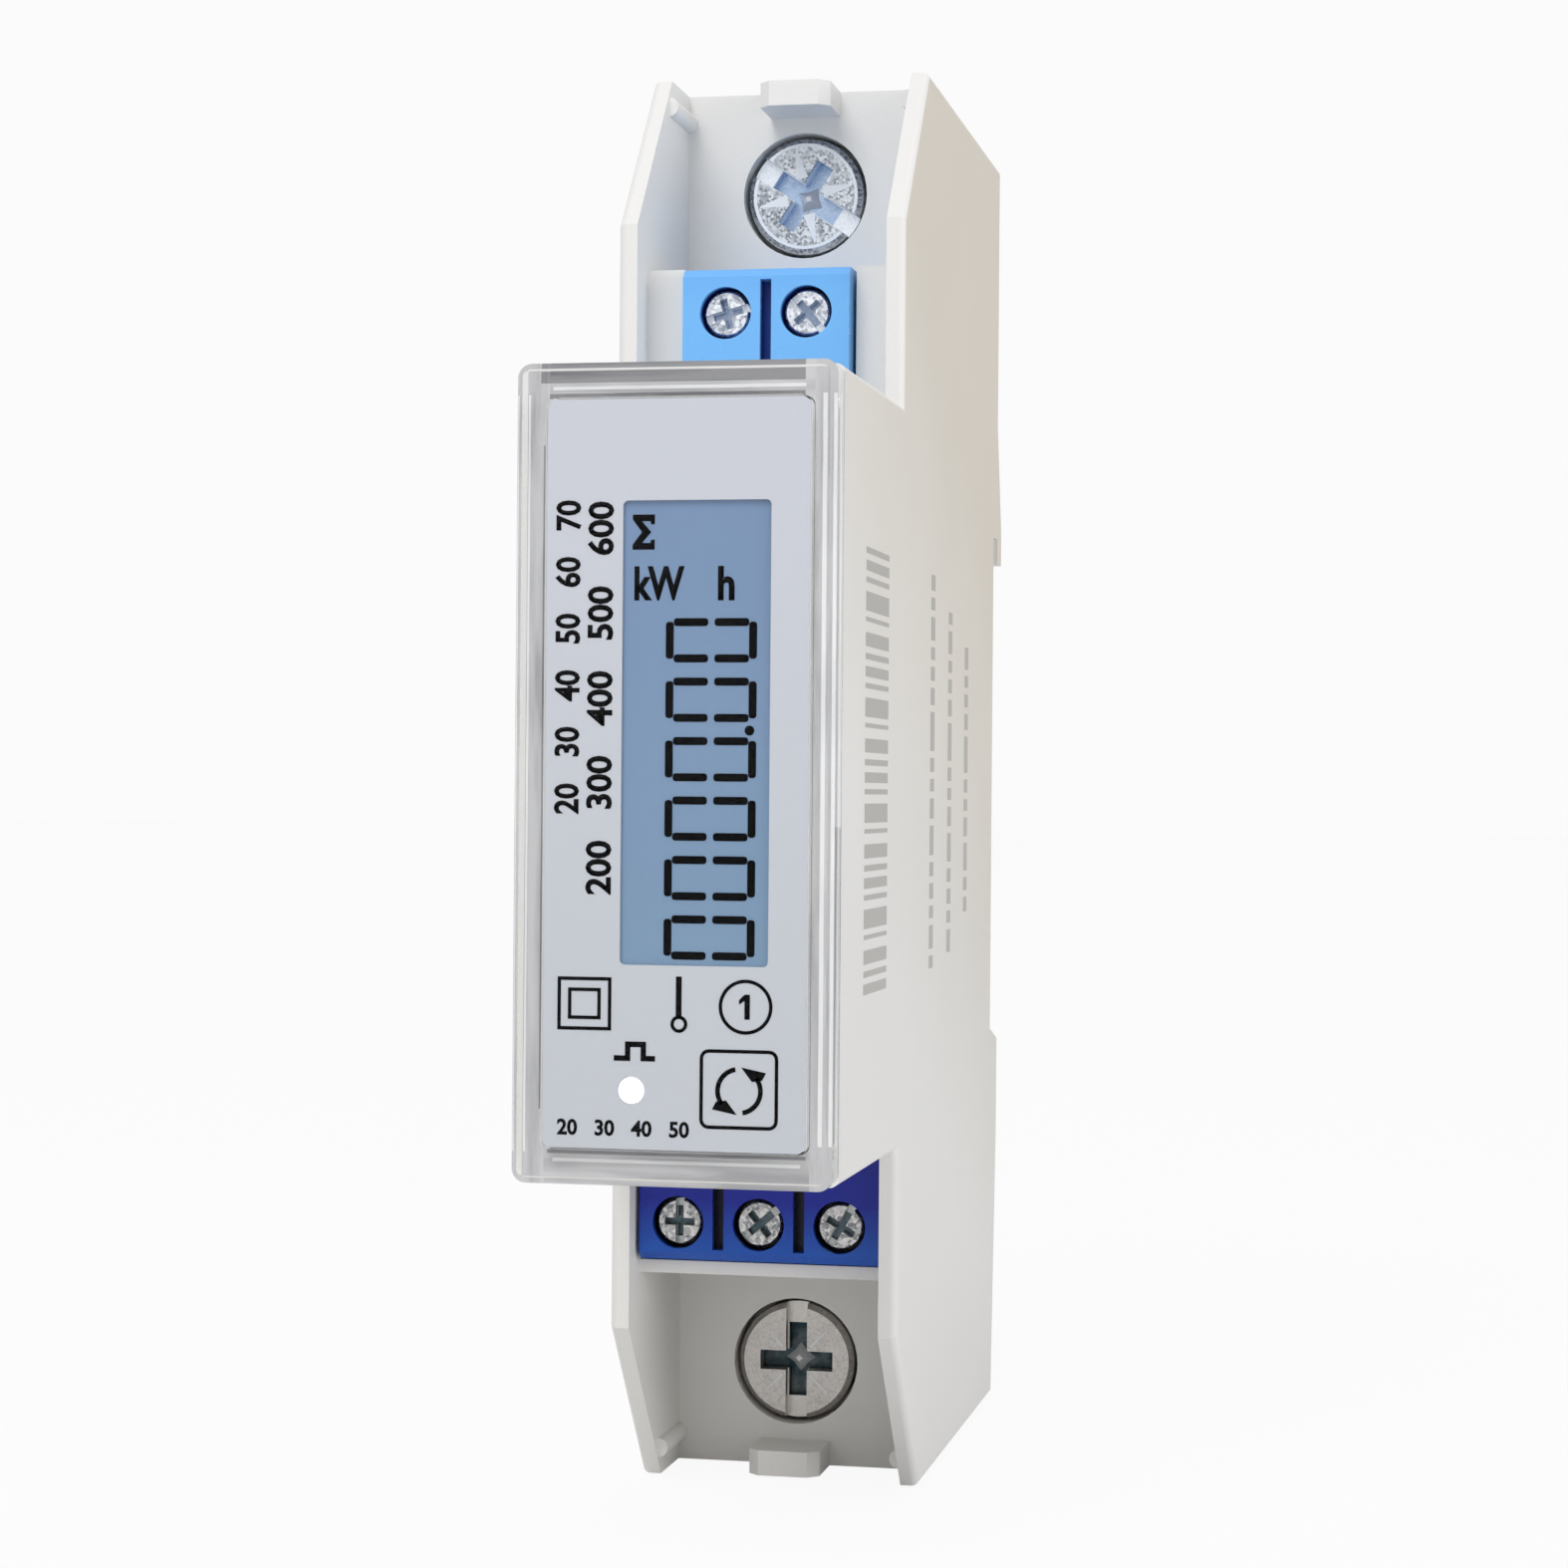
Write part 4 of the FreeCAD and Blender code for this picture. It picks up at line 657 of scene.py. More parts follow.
class Finishes(Enum):
    """Every finish on the meter."""

    HOUSING = Moulded("off_white_plastic", "housing", shade(233, 232, 230), shade(231, 229, 225))
    LID = SidePlate("off_white_lid", "housing", shade(231, 230, 228), shade(229, 228, 226))
    CLIP = Moulded("clip_plastic", "clip_plastic", shade(226, 224, 220), shade(228, 227, 224))
    CARRIER = Moulded("white_plastic", "carrier", shade(238, 238, 238), shade(238, 238, 238))
    COVER = Clear("clear_plastic", "clear", (0.985, 0.988, 0.995))
    # Painted light in the cover's frame: a band of painted refraction, lines of painted shade and
    # lines of painted glints.
    COVER_PAINTED_REFRACTION = PaintedRefraction("clear_painted_refraction", "clear", shade(204, 204, 205), shade(166, 166, 168))
    COVER_PAINTED_SHADE = PaintedRefraction("clear_edge_shade", "clear", shade(146, 146, 149), shade(96, 96, 100))
    COVER_GLINT = PaintedRefraction("clear_edge_glint", "clear", shade(240, 240, 240), shade(218, 218, 219))
    # The label's lower colour, darker towards its bottom, is painted shade.
    LABEL = Film("label_film", "label", shade(203, 206, 214), shade(196, 200, 206))
    DISPLAY = Film("display_blue", "display", shade(122, 146, 180), shade(126, 155, 181), 0.16)
    INK = Film("black_ink", "black_part", shade(8, 8, 10), shade(8, 8, 10), 0.54, gloss=0.05)
    SIDE_INK = Film("grey_ink", "black_part", shade(176, 174, 170), shade(184, 182, 179), 0.54)
    # The light guide glows by itself, though it is no lamp: painted light.
    LIGHT_GUIDE_PAINTED_GLOW = Glow("milky_acrylic_painted_glow", "light_guide", (0.96, 0.97, 0.98), 0.25)
    LAMP = Glow("lamp_body", "lamp", (0.95, 0.7, 0.62), 0.1)
    BOARD = Lacquer("green_lacquer", "board", shade(18, 92, 52), shade(60, 140, 80))
    BLACK = Moulded("black_epoxy", "black_part", shade(30, 30, 32), shade(26, 26, 28))
    YELLOW = Moulded("yellow_box", "yellow_part", shade(224, 186, 60), shade(216, 178, 54))
    BLUE_DISC = Moulded("blue_epoxy", "blue_disc", shade(40, 92, 180), shade(36, 84, 168), 0.3)
    CAN = Plated("drawn_can", "can", shade(214, 216, 220), shade(170, 172, 178), 0.25, 0.0009)
    COPPER = Plated(
        "bare_copper", "copper", shade(222, 160, 120), shade(180, 112, 78), 0.23, 0.0012,
    )
    SHUNT = Plated(
        "resistance_alloy", "shunt_alloy", shade(170, 148, 122), shade(130, 108, 86), 0.3,
    )
    TINNED = Plated("tin_plate", "tinned", shade(214, 216, 218), shade(170, 172, 176), 0.2, 0.0006)
    CAGE = Plated(
        "cage_steel", "cage_steel", shade(206, 204, 190), shade(150, 150, 142), 0.25, 0.0007,
    )
    # Slot and well colours of each screw are painted light and shade in its cross.
    UPPER_SCREW = ScrewFace(
        "bright_zinc", "zinc_screw", shade(214, 219, 226), shade(128, 134, 144), depth=0.000012,
        slot_shading_colour=shade(228, 234, 242), well_shading_colour=shade(172, 194, 224), **MAIN_HEAD,
    )
    LOWER_SCREW = ScrewFace(
        "dull_zinc", "zinc_screw", shade(204, 200, 196), shade(176, 172, 168), depth=0.00001,
        slot_shading_colour=shade(206, 203, 198), well_shading_colour=shade(44, 62, 68), roughness=0.34,
        **MAIN_HEAD,
    )
    UPPER_SIGNAL_SCREW = ScrewFace(
        "bright_small_zinc", "zinc_screw", shade(238, 242, 248), shade(150, 158, 172),
        slot_shading_colour=shade(214, 221, 232), well_shading_colour=shade(146, 162, 188), **SIGNAL_HEAD,
    )
    LOWER_SIGNAL_SCREW = ScrewFace(
        "dull_small_zinc", "zinc_screw", shade(216, 214, 212), shade(120, 122, 126),
        slot_shading_colour=shade(176, 178, 178), well_shading_colour=shade(78, 92, 98), **SIGNAL_HEAD,
    )
    # Painted highlight: the real nicks and points of the screw heads painted bright white, and the
    # ring on the upper head's bevel, which is painted highlight alone.
    HIGHLIGHT_TICK = Moulded(
        "bright_zinc_painted_highlight", "zinc_screw", shade(244, 247, 251), shade(236, 239, 242), 0.2,
        gloss=1.0,
    )
    # The second colour is painted shade at the top of each block, the third painted shade inside
    # its openings and slots.
    LIGHT_BLUE = PoleBlock(
        "light_blue_plastic", "light_blue", shade(118, 186, 247), shade(112, 180, 245),
        shade(22, 62, 150), edge=(0.029, 0.031), slots=(0.0242, 0.03075),
        pole_start=0.00254, screw_height=0.0287,
    )
    DARK_BLUE = PoleBlock(
        "dark_blue_plastic", "dark_blue", shade(26, 82, 176), shade(20, 34, 146),
        shade(6, 10, 44), edge=(-0.0292, -0.0262), slots=(-0.0293, -0.0242),
        pole_start=0.0, screw_height=-0.02765,
    )
    FOAM = Moulded("foam", "foam", shade(52, 52, 56), shade(48, 48, 52), 0.9)


class Wardrobe:
    """Makes each finish once and dresses pieces with it."""

    def __init__(self) -> None:
        """Start with no material made."""
        self.made: dict[Finishes, bpy.types.Material] = {}

    def material(self, finish: Finishes) -> bpy.types.Material:
        """The material of a finish, made when it is first asked for."""
        if finish not in self.made:
            self.made[finish] = finish.value.material()
        return self.made[finish]

    def dress(self, piece: bpy.types.Object, finish: Finishes) -> None:
        """Give a piece one finish all over.

        Args:
            piece: Mesh object.
            finish: Finish to put on it.
        """
        material = self.material(finish)
        if piece.material_slots:
            for slot in piece.material_slots:
                slot.material = material
        else:
            piece.data.materials.append(material)


class Facing(Enum):
    """Planes for print: local right, up and outwards, in the meter's frame."""

    FRONT = (Vector((1, 0, 0)), Vector((0, 0, 1)), Vector((0, -1, 0)))
    RIGHT = (Vector((0, 1, 0)), Vector((0, 0, 1)), Vector((1, 0, 0)))

    def matrix(self, level: float) -> Matrix:
        """Matrix from the plane to the meter's frame, for a plane this far outwards.

        Args:
            level: Distance of the plane along its outward axis, in metres.

        Returns:
            The matrix.
        """
        right, up, out = self.value
        turn = Matrix((right, up, out)).transposed().to_4x4()
        return Matrix.Translation(out * level) @ turn


@dataclass(frozen=True)
class Span:
    """Rectangle in a print plane, in millimetres."""

    left: float
    right: float
    low: float
    high: float

    @property
    def middle(self) -> Vector:
        """Centre of the rectangle."""
        return Vector(((self.left + self.right) / 2, (self.low + self.high) / 2, 0))

    @property
    def wide(self) -> float:
        """Width of the rectangle."""
        return self.right - self.left

    @property
    def tall(self) -> float:
        """Height of the rectangle."""
        return self.high - self.low

    def inset(self, edge: float) -> "Span":
        """The rectangle with each side moved inwards."""
        return Span(self.left + edge, self.right - edge, self.low + edge, self.high - edge)


def linked(name: str, data: bpy.types.ID) -> bpy.types.Object:
    """Make an object of a mesh, curve, lamp or lens, and put it in the scene.

    Args:
        name: Name of the object.
        data: What it shows.

    Returns:
        The new object.
    """
    made = bpy.data.objects.new(name, data)
    bpy.context.scene.collection.objects.link(made)
    return made


def placed(name: str, mesh: bmesh.types.BMesh) -> bpy.types.Object:
    """Make a working mesh an object of the scene, and free the working mesh.

    Args:
        name: Name of the object.
        mesh: Working mesh, in metres.

    Returns:
        The new object.
    """
    data = bpy.data.meshes.new(name)
    mesh.to_mesh(data)
    mesh.free()
    return linked(name, data)


class Stencil:
    """Flat shapes in one print plane that become one thin piece."""

    CIRCLE_STEPS = 40
    CORNER_STEPS = 4
    LETTER_STEPS = 3
    JOIN = 0.0005

    def __init__(self) -> None:
        """Start with an empty mesh, in millimetres."""
        self.mesh = bmesh.new()

    def bar(self, span: Span, round_by: float = 0.0) -> None:
        """Add a filled rectangle, with rounded corners if asked.

        Args:
            span: Its place.
            round_by: Corner radius.
        """
        scale = Matrix.Diagonal((span.wide, span.tall, 1, 1))
        place = Matrix.Translation(span.middle) @ scale
        made = bmesh.ops.create_grid(self.mesh, x_segments=1, y_segments=1, size=0.5, matrix=place)
        if round_by:
            bmesh.ops.bevel(
                self.mesh, geom=made["verts"], offset=round_by, offset_type="OFFSET",
                affect="VERTICES", segments=self.CORNER_STEPS, profile=0.5, material=-1,
            )

    def frame(self, span: Span, line: float, round_by: float = 0.0) -> None:
        """Add the outline of a rectangle.

        Args:
            span: Outer edge of the outline.
            line: Width of the line.
            round_by: Outer corner radius.
        """
        before = set(self.mesh.faces)
        self.bar(span, round_by)
        face = next(item for item in self.mesh.faces if item not in before)
        bmesh.ops.inset_region(
            self.mesh, faces=[face], thickness=line, use_boundary=True, use_even_offset=True
        )
        bmesh.ops.delete(self.mesh, geom=[face], context="FACES")

    def border(self, outer: Span, inner: Span, round_by: float) -> None:
        """Add the area between two rectangles.

        Args:
            outer: Outer rectangle.
            inner: Inner rectangle.
            round_by: Corner radius of the inner rectangle.
        """
        before = set(self.mesh.faces)
        self.bar(outer)
        self.bar(inner, round_by)
        filled = [face for face in self.mesh.faces if face not in before]
        edges = list({edge for face in filled for edge in face.edges})
        bmesh.ops.delete(self.mesh, geom=filled, context="FACES_ONLY")
        bmesh.ops.bridge_loops(self.mesh, edges=edges)

    def disc(self, middle: Vector, radius: float) -> None:
        """Add a filled circle."""
        bmesh.ops.create_circle(
            self.mesh, cap_ends=True, segments=self.CIRCLE_STEPS, radius=radius,
            matrix=Matrix.Translation(middle),
        )

    def arc(self, middle: Vector, radius: float, line: float, start: float, turn: float) -> None:
        """Add a band along a circle.

        Args:
            middle: Centre of the circle.
            radius: Radius of the middle of the band.
            line: Width of the band.
            start: Angle of its start, in degrees from the right.
            turn: Angle that it covers, in degrees.
        """
        way = Vector((math.cos(math.radians(start)), math.sin(math.radians(start)), 0))
        ends = [self.mesh.verts.new(middle + way * (radius + side * line / 2)) for side in (-1, 1)]
        edge = self.mesh.edges.new(ends)
        bmesh.ops.spin(
            self.mesh, geom=ends + [edge], cent=middle, axis=(0, 0, 1), angle=math.radians(turn),
            steps=round(self.CIRCLE_STEPS * turn / 360), use_merge=turn == 360,
        )

    def wedge(self, corners: Iterable[Vector]) -> None:
        """Add a filled outline with the given corners."""
        self.mesh.faces.new([self.mesh.verts.new(corner) for corner in corners])

    def words(self, text: str, span: Span, bold: float, quarter_turns: int = 0) -> None:
        """Add figures or a unit sign, stretched to fill a rectangle.

        Args:
            text: What it says.
            span: Its place after turning.
            bold: How far the outlines are swollen, for letters one unit high.
            quarter_turns: Quarter turns to the left.
        """
        curve = bpy.data.curves.new("figures", "FONT")
        curve.body = text
        curve.resolution_u = self.LETTER_STEPS
        curve.offset = bold
        carrier = linked("figures", curve)
        flat = bpy.data.meshes.new_from_object(carrier)
        flat.transform(Matrix.Rotation(math.radians(90 * quarter_turns), 4, "Z"))
        low = Vector([min(v.co[axis] for v in flat.vertices) for axis in range(3)])
        high = Vector([max(v.co[axis] for v in flat.vertices) for axis in range(3)])
        size = high - low
        stretch = Matrix.Diagonal((span.wide / size.x, span.tall / size.y, 1, 1))
        start = Vector((span.left, span.low, 0))
        flat.transform(Matrix.Translation(start) @ stretch @ Matrix.Translation(-low))
        self.mesh.from_mesh(flat)
        bpy.data.objects.remove(carrier)
        bpy.data.curves.remove(curve)
        bpy.data.meshes.remove(flat)

    def piece(
        self, name: str, level: float, facing: Facing = Facing.FRONT, thick: float = 0.02
    ) -> bpy.types.Object:
        """Turn the shapes into a thin solid piece on its plane.

        Args:
            name: Name of the piece.
            level: Distance of the surface under it along the plane's outward axis, in metres.
            facing: Plane that it lies in.
            thick: Thickness of the print in millimetres.

        Returns:
            The new object, which still has to ride on a body.
        """
        bmesh.ops.remove_doubles(self.mesh, verts=self.mesh.verts, dist=self.JOIN)
        bmesh.ops.recalc_face_normals(self.mesh, faces=self.mesh.faces)
        flipped = [face for face in self.mesh.faces if face.normal.z < 0]
        bmesh.ops.reverse_faces(self.mesh, faces=flipped)
        faces = list(self.mesh.faces)
        grown = bmesh.ops.extrude_face_region(self.mesh, geom=faces, use_keep_orig=True)
        risen = [item for item in grown["geom"] if isinstance(item, bmesh.types.BMVert)]
        bmesh.ops.translate(self.mesh, verts=risen, vec=(0, 0, thick))
        bmesh.ops.recalc_face_normals(self.mesh, faces=self.mesh.faces)
        bmesh.ops.transform(self.mesh, verts=self.mesh.verts, matrix=Matrix.Scale(MM, 4))
        bmesh.ops.transform(self.mesh, verts=self.mesh.verts, matrix=facing.matrix(level))
        return placed(name, self.mesh)


@dataclass
class Assembly:
    """Pieces that take their finishes from one wardrobe."""

    wardrobe: Wardrobe

    def add(self, made: bpy.types.Object, finish: Finishes, body: str = HOUSING) -> None:
        """Dress a new piece and let it ride on a body.

        Args:
            made: The new piece.
            finish: Its finish.
            body: Body that it rides on.
        """
        self.wardrobe.dress(made, finish)
        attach(made, body)
        LOG.info("%s: %d faces", made.name, len(made.data.polygons))


@dataclass
class FacePrint(Assembly):
    """Black print on the label, in millimetres."""

    line: float = 0.19
    class_mark: Span = Span(-6.59, -3.53, -14.14, -11.21)
    class_inset: float = 0.6
    switch_x: float = 0.28
    switch_top: float = -11.1
    switch_half: float = 0.1615
    switch_ring: Vector = field(default_factory=lambda: Vector((0.3, -13.71, 0)))
    switch_radius: float = 0.38
    tariff: Vector = field(default_factory=lambda: Vector((4.03, -12.7, 0)))
    tariff_radius: float = 1.41
    one_half: float = 0.68
    one_stem: Range = (-0.06, 0.24)
    one_flag: Sequence[Range] = ((-0.06, 1), (-0.36, 0.55), (-0.36, 0.2), (-0.06, 0.5))
    pulse: Span = Span(-3.36, -1.03, -15.79, -14.72)
    pulse_line: float = 0.3
    pulse_steps: Range = (0.27, 0.78)
    key: Span = Span(1.49, 5.88, -19.4, -15.04)
    key_round: float = 0.5
    arrow_middle: Vector = field(default_factory=lambda: Vector((3.7, -17.3, 0)))
    arrow_radius: float = 1.2
    arrow_line: float = 0.26
    arrow_start: float = 100.0
    arrow_sweep: float = 118.0
    arrow_head: Sequence[Range] = ((-0.12, -1.3), (-1.5, -1.02), (-1.28, -0.6), (-0.72, -0.52))
    outer_column: Span = Span(-6.91, -5.45, -2.24, 15.08)
    inner_column: Span = Span(-5.08, -3.59, -6.67, 15.0)
    column_bold: float = 0.026
    bottom_row: Span = Span(-6.56, 0.92, -19.95, -19.05)
    row_bold: float = 0.028

    def marks(self) -> Stencil:
        """Draw the double square, the circled figure and the line that ends in a ring.

        Returns:
            The shapes.
        """
        stencil = Stencil()
        stencil.frame(self.class_mark, self.line)
        stencil.frame(self.class_mark.inset(self.class_inset), self.line)
        x, half = self.switch_x, self.switch_half
        ring_top = self.switch_ring.y + self.switch_radius
        stencil.bar(Span(x - half, x + half, ring_top, self.switch_top))
        stencil.arc(self.switch_ring, self.switch_radius, self.line, 0, 360)
        stencil.arc(self.tariff, self.tariff_radius, self.line, 0, 360)
        x, z, half = self.tariff.x, self.tariff.y, self.one_half
        stencil.bar(Span(x + self.one_stem[0], x + self.one_stem[1], z - half, z + half))
        stencil.wedge(Vector((x + right, z + up * half, 0)) for right, up in self.one_flag)
        return stencil

    def pulse_mark(self) -> Stencil:
        """Draw the square wave over the pulse light.

        Returns:
            The shapes.
        """
        stencil = Stencil()
        p, t = self.pulse, self.pulse_line
        rise, fall = (p.left + p.wide * step for step in self.pulse_steps)
        stencil.bar(Span(p.left, rise + t, p.low, p.low + t))
        stencil.bar(Span(rise, rise + t, p.low + t, p.high - t))
        stencil.bar(Span(rise, fall, p.high - t, p.high))
        stencil.bar(Span(fall - t, fall, p.low + t, p.high - t))
        stencil.bar(Span(fall - t, p.right, p.low, p.low + t))
        return stencil

    def key_mark(self) -> Stencil:
        """Draw the rounded square with two arrows that chase each other.

        Returns:
            The shapes.
        """
        stencil = Stencil()
        stencil.frame(self.key, self.line, self.key_round)
        for turn in (0, 180):
            spin = Matrix.Rotation(math.radians(turn), 3, "Z")
            stencil.arc(
                self.arrow_middle, self.arrow_radius, self.arrow_line, self.arrow_start + turn,
                self.arrow_sweep,
            )
            corners = (spin @ Vector((across, up, 0)) for across, up in self.arrow_head)
            stencil.wedge(self.arrow_middle + corner for corner in corners)
        return stencil

    def figures(self) -> Stencil:
        """Write plain figures in two columns and a row.

        Returns:
            The shapes.
        """
        stencil = Stencil()
        stencil.words("20   30   40   50   60   70", self.outer_column, self.column_bold, 1)
        stencil.words("200   300   400   500   600", self.inner_column, self.column_bold, 1)
        stencil.words("20   30   40   50", self.bottom_row, self.row_bold)
        return stencil

    def build(self) -> None:
        """Make the print on the front face of the label."""
        level = -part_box("face_label")[0].y
        self.add(self.marks().piece("label_marks", level), Finishes.INK)
        self.add(self.pulse_mark().piece("label_pulse_mark", level), Finishes.INK)
        self.add(self.key_mark().piece("label_key_mark", level), Finishes.INK)
        self.add(self.figures().piece("label_figures", level), Finishes.INK)


@dataclass
class DisplayFigures(Assembly):
    """Dark segments on the display: six figures on their side, a point and the signs."""

    count: int = 6
    left: float = -0.665
    right: float = 4.452
    first_top: float = 8.57
    pitch: float = 3.264
    tall: float = 2.43
    line: float = 0.44
    corner: float = 0.198
    gap: float = 0.176
    rounding: float = 0.176
    point: Vector = field(default_factory=lambda: Vector((4.07, 2.41, 0)))
    point_radius: float = 0.27
    sum_sign: Span = Span(-2.587, -1.346, 12.35, 14.28)
    sum_outline: Sequence[Range] = (
        (0, 1), (1, 1), (1, 0.72), (0.82, 0.72), (0.82, 0.81), (0.42, 0.81), (0.84, 0.5),
        (0.42, 0.19), (0.82, 0.19), (0.82, 0.28), (1, 0.28), (1, 0), (0, 0), (0, 0.14),
        (0.42, 0.5), (0, 0.86),
    )
    unit_left: Span = Span(-2.471, 0.353, 9.54, 11.43)
    unit_right: Span = Span(2.242, 3.177, 9.54, 11.43)
    unit_bold: float = 0.032

    def nought(self, stencil: Stencil, top: float) -> None:
        """Add one figure 0 that lies on its side.

        Args:
            stencil: Where it is added.
            top: Height of its upper edge.
        """
        low, middle = top - self.tall, (self.left + self.right) / 2
        for side in (self.left, self.right - self.line):
            end = Span(side, side + self.line, low + self.corner, top - self.corner)
            stencil.bar(end, self.rounding)
        for level in (low, top - self.line):
            high = level + self.line
            near = Span(self.left + self.line, middle - self.gap, level, high)
            far = Span(middle + self.gap, self.right - self.line, level, high)
            stencil.bar(near, self.rounding)
            stencil.bar(far, self.rounding)

    def signs(self) -> Stencil:
        """Draw the sum sign and the unit.

        Returns:
            The shapes.
        """
        stencil = Stencil()
        sign = self.sum_sign
        stencil.wedge(
            Vector((sign.left + across * sign.wide, sign.low + up * sign.tall, 0))
            for across, up in self.sum_outline
        )
        stencil.words("kW", self.unit_left, self.unit_bold)
        stencil.words("h", self.unit_right, self.unit_bold)
        return stencil

    def build(self) -> None:
        """Make the figures on the front of the display glass."""
        level = -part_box("display_glass")[0].y
        figures = Stencil()
        for number in range(self.count):
            self.nought(figures, self.first_top - self.pitch * number)
        figures.disc(self.point, self.point_radius)
        self.add(figures.piece("display_figures", level), Finishes.INK)
        self.add(self.signs().piece("display_signs", level), Finishes.INK)


@dataclass
class PaintedCoverEdges(Assembly):
    """Painted refraction, painted shade and painted glints along the frame of the clear cover, just
    inside its back face, in millimetres.
    """

    frame_depth: float = 2.3
    outer: Span = Span(-8.75, 8.75, -22.35, 22.35)
    inner: Span = Span(-7.51, 7.51, -20.76, 20.76)
    inner_round: float = 0.55
    step: float = 0.02
    painted_shades: Sequence[Span] = (
        Span(-8.0, 6.95, 21.66, 22.3), Span(-7.5, 6.95, 20.8, 21.05),
        Span(-7.82, -7.56, -18.6, 18.2), Span(-7.3, 7.3, -21.05, -20.86),
    )
    glints: Sequence[Span] = (
        Span(7.95, 8.2, -20.3, 20.9), Span(-8.7, -8.58, -21.0, 21.0),
        Span(-7.3, 7.0, 21.25, 21.45), Span(-7.0, 7.0, -21.5, -21.3),
    )

    def build(self) -> None:
        """Make the band of painted refraction, and the lines of painted shade and painted glints in
        front of it.
        """
        level = -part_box("clear_cover")[0].y - self.frame_depth * MM
        band = Stencil()
        band.border(self.outer, self.inner, self.inner_round)
        self.add(band.piece("cover_edge_painted_refraction", level), Finishes.COVER_PAINTED_REFRACTION)
        rows = (("cover_edge_painted_shade", self.painted_shades, Finishes.COVER_PAINTED_SHADE),
                ("cover_edge_glints", self.glints, Finishes.COVER_GLINT))
        for name, spans, finish in rows:
            stencil = Stencil()
            for span in spans:
                stencil.bar(span)
            self.add(stencil.piece(name, level + self.step * MM), finish)


@dataclass
class SidePrint(Assembly):
    """Faint grey bars and dashes on the right side, in place of small print, in millimetres."""

    bars_near: float = -53.1
    bars_far: float = -45.4
    top: float = 13.1
    low: float = -12.2
    rhythm: Sequence[float] = (0.35, 0.25, 0.6, 0.25, 0.3, 0.4, 1.1, 0.3, 0.25, 0.5, 0.8, 0.3)
    pace: float = 0.9
    gap: float = 0.1
    lines: Sequence[float] = (-29.0, -21.5, -14.0)
    line_wide: float = 1.5
    line_drop: float = 2.0
    line_rise: float = 1.5
    dash: float = 0.3
    dash_gap: float = 0.45

    def beat(self, number: int) -> float:
        """One length of the rhythm, which starts again at its end."""
        return self.rhythm[number % len(self.rhythm)]

    def bars(self, stencil: Stencil) -> None:
        """Add a column of uneven bars.

        Args:
            stencil: Where they are added.
        """
        high, number = self.top, 0
        while high > self.low:
            thick = self.beat(number)
            if number % 2 == 0:
                stencil.bar(Span(self.bars_near, self.bars_far, high - thick, high))
            high -= thick * self.pace + self.gap
            number += 1

    def dashes(self, stencil: Stencil, number: int) -> None:
        """Add one line of dashes, each line shorter than the one before.

        Args:
            stencil: Where they are added.
            number: Place of the line in the row of lines.
        """
        near, high, dash = self.lines[number], self.top - self.line_drop * number, number
        while high > self.low + self.line_rise * number:
            long = self.dash + 2 * self.beat(dash)
            stencil.bar(Span(near, near + self.line_wide, high - long, high))
            high -= long + self.dash_gap
            dash += 1

    def build(self) -> None:
        """Make the grey print on the right plate."""
        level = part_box("side_lid")[1].x
        stencil = Stencil()
        self.bars(stencil)
        for number in range(len(self.lines)):
            self.dashes(stencil, number)
        self.add(stencil.piece("side_bars", level, Facing.RIGHT), Finishes.SIDE_INK)


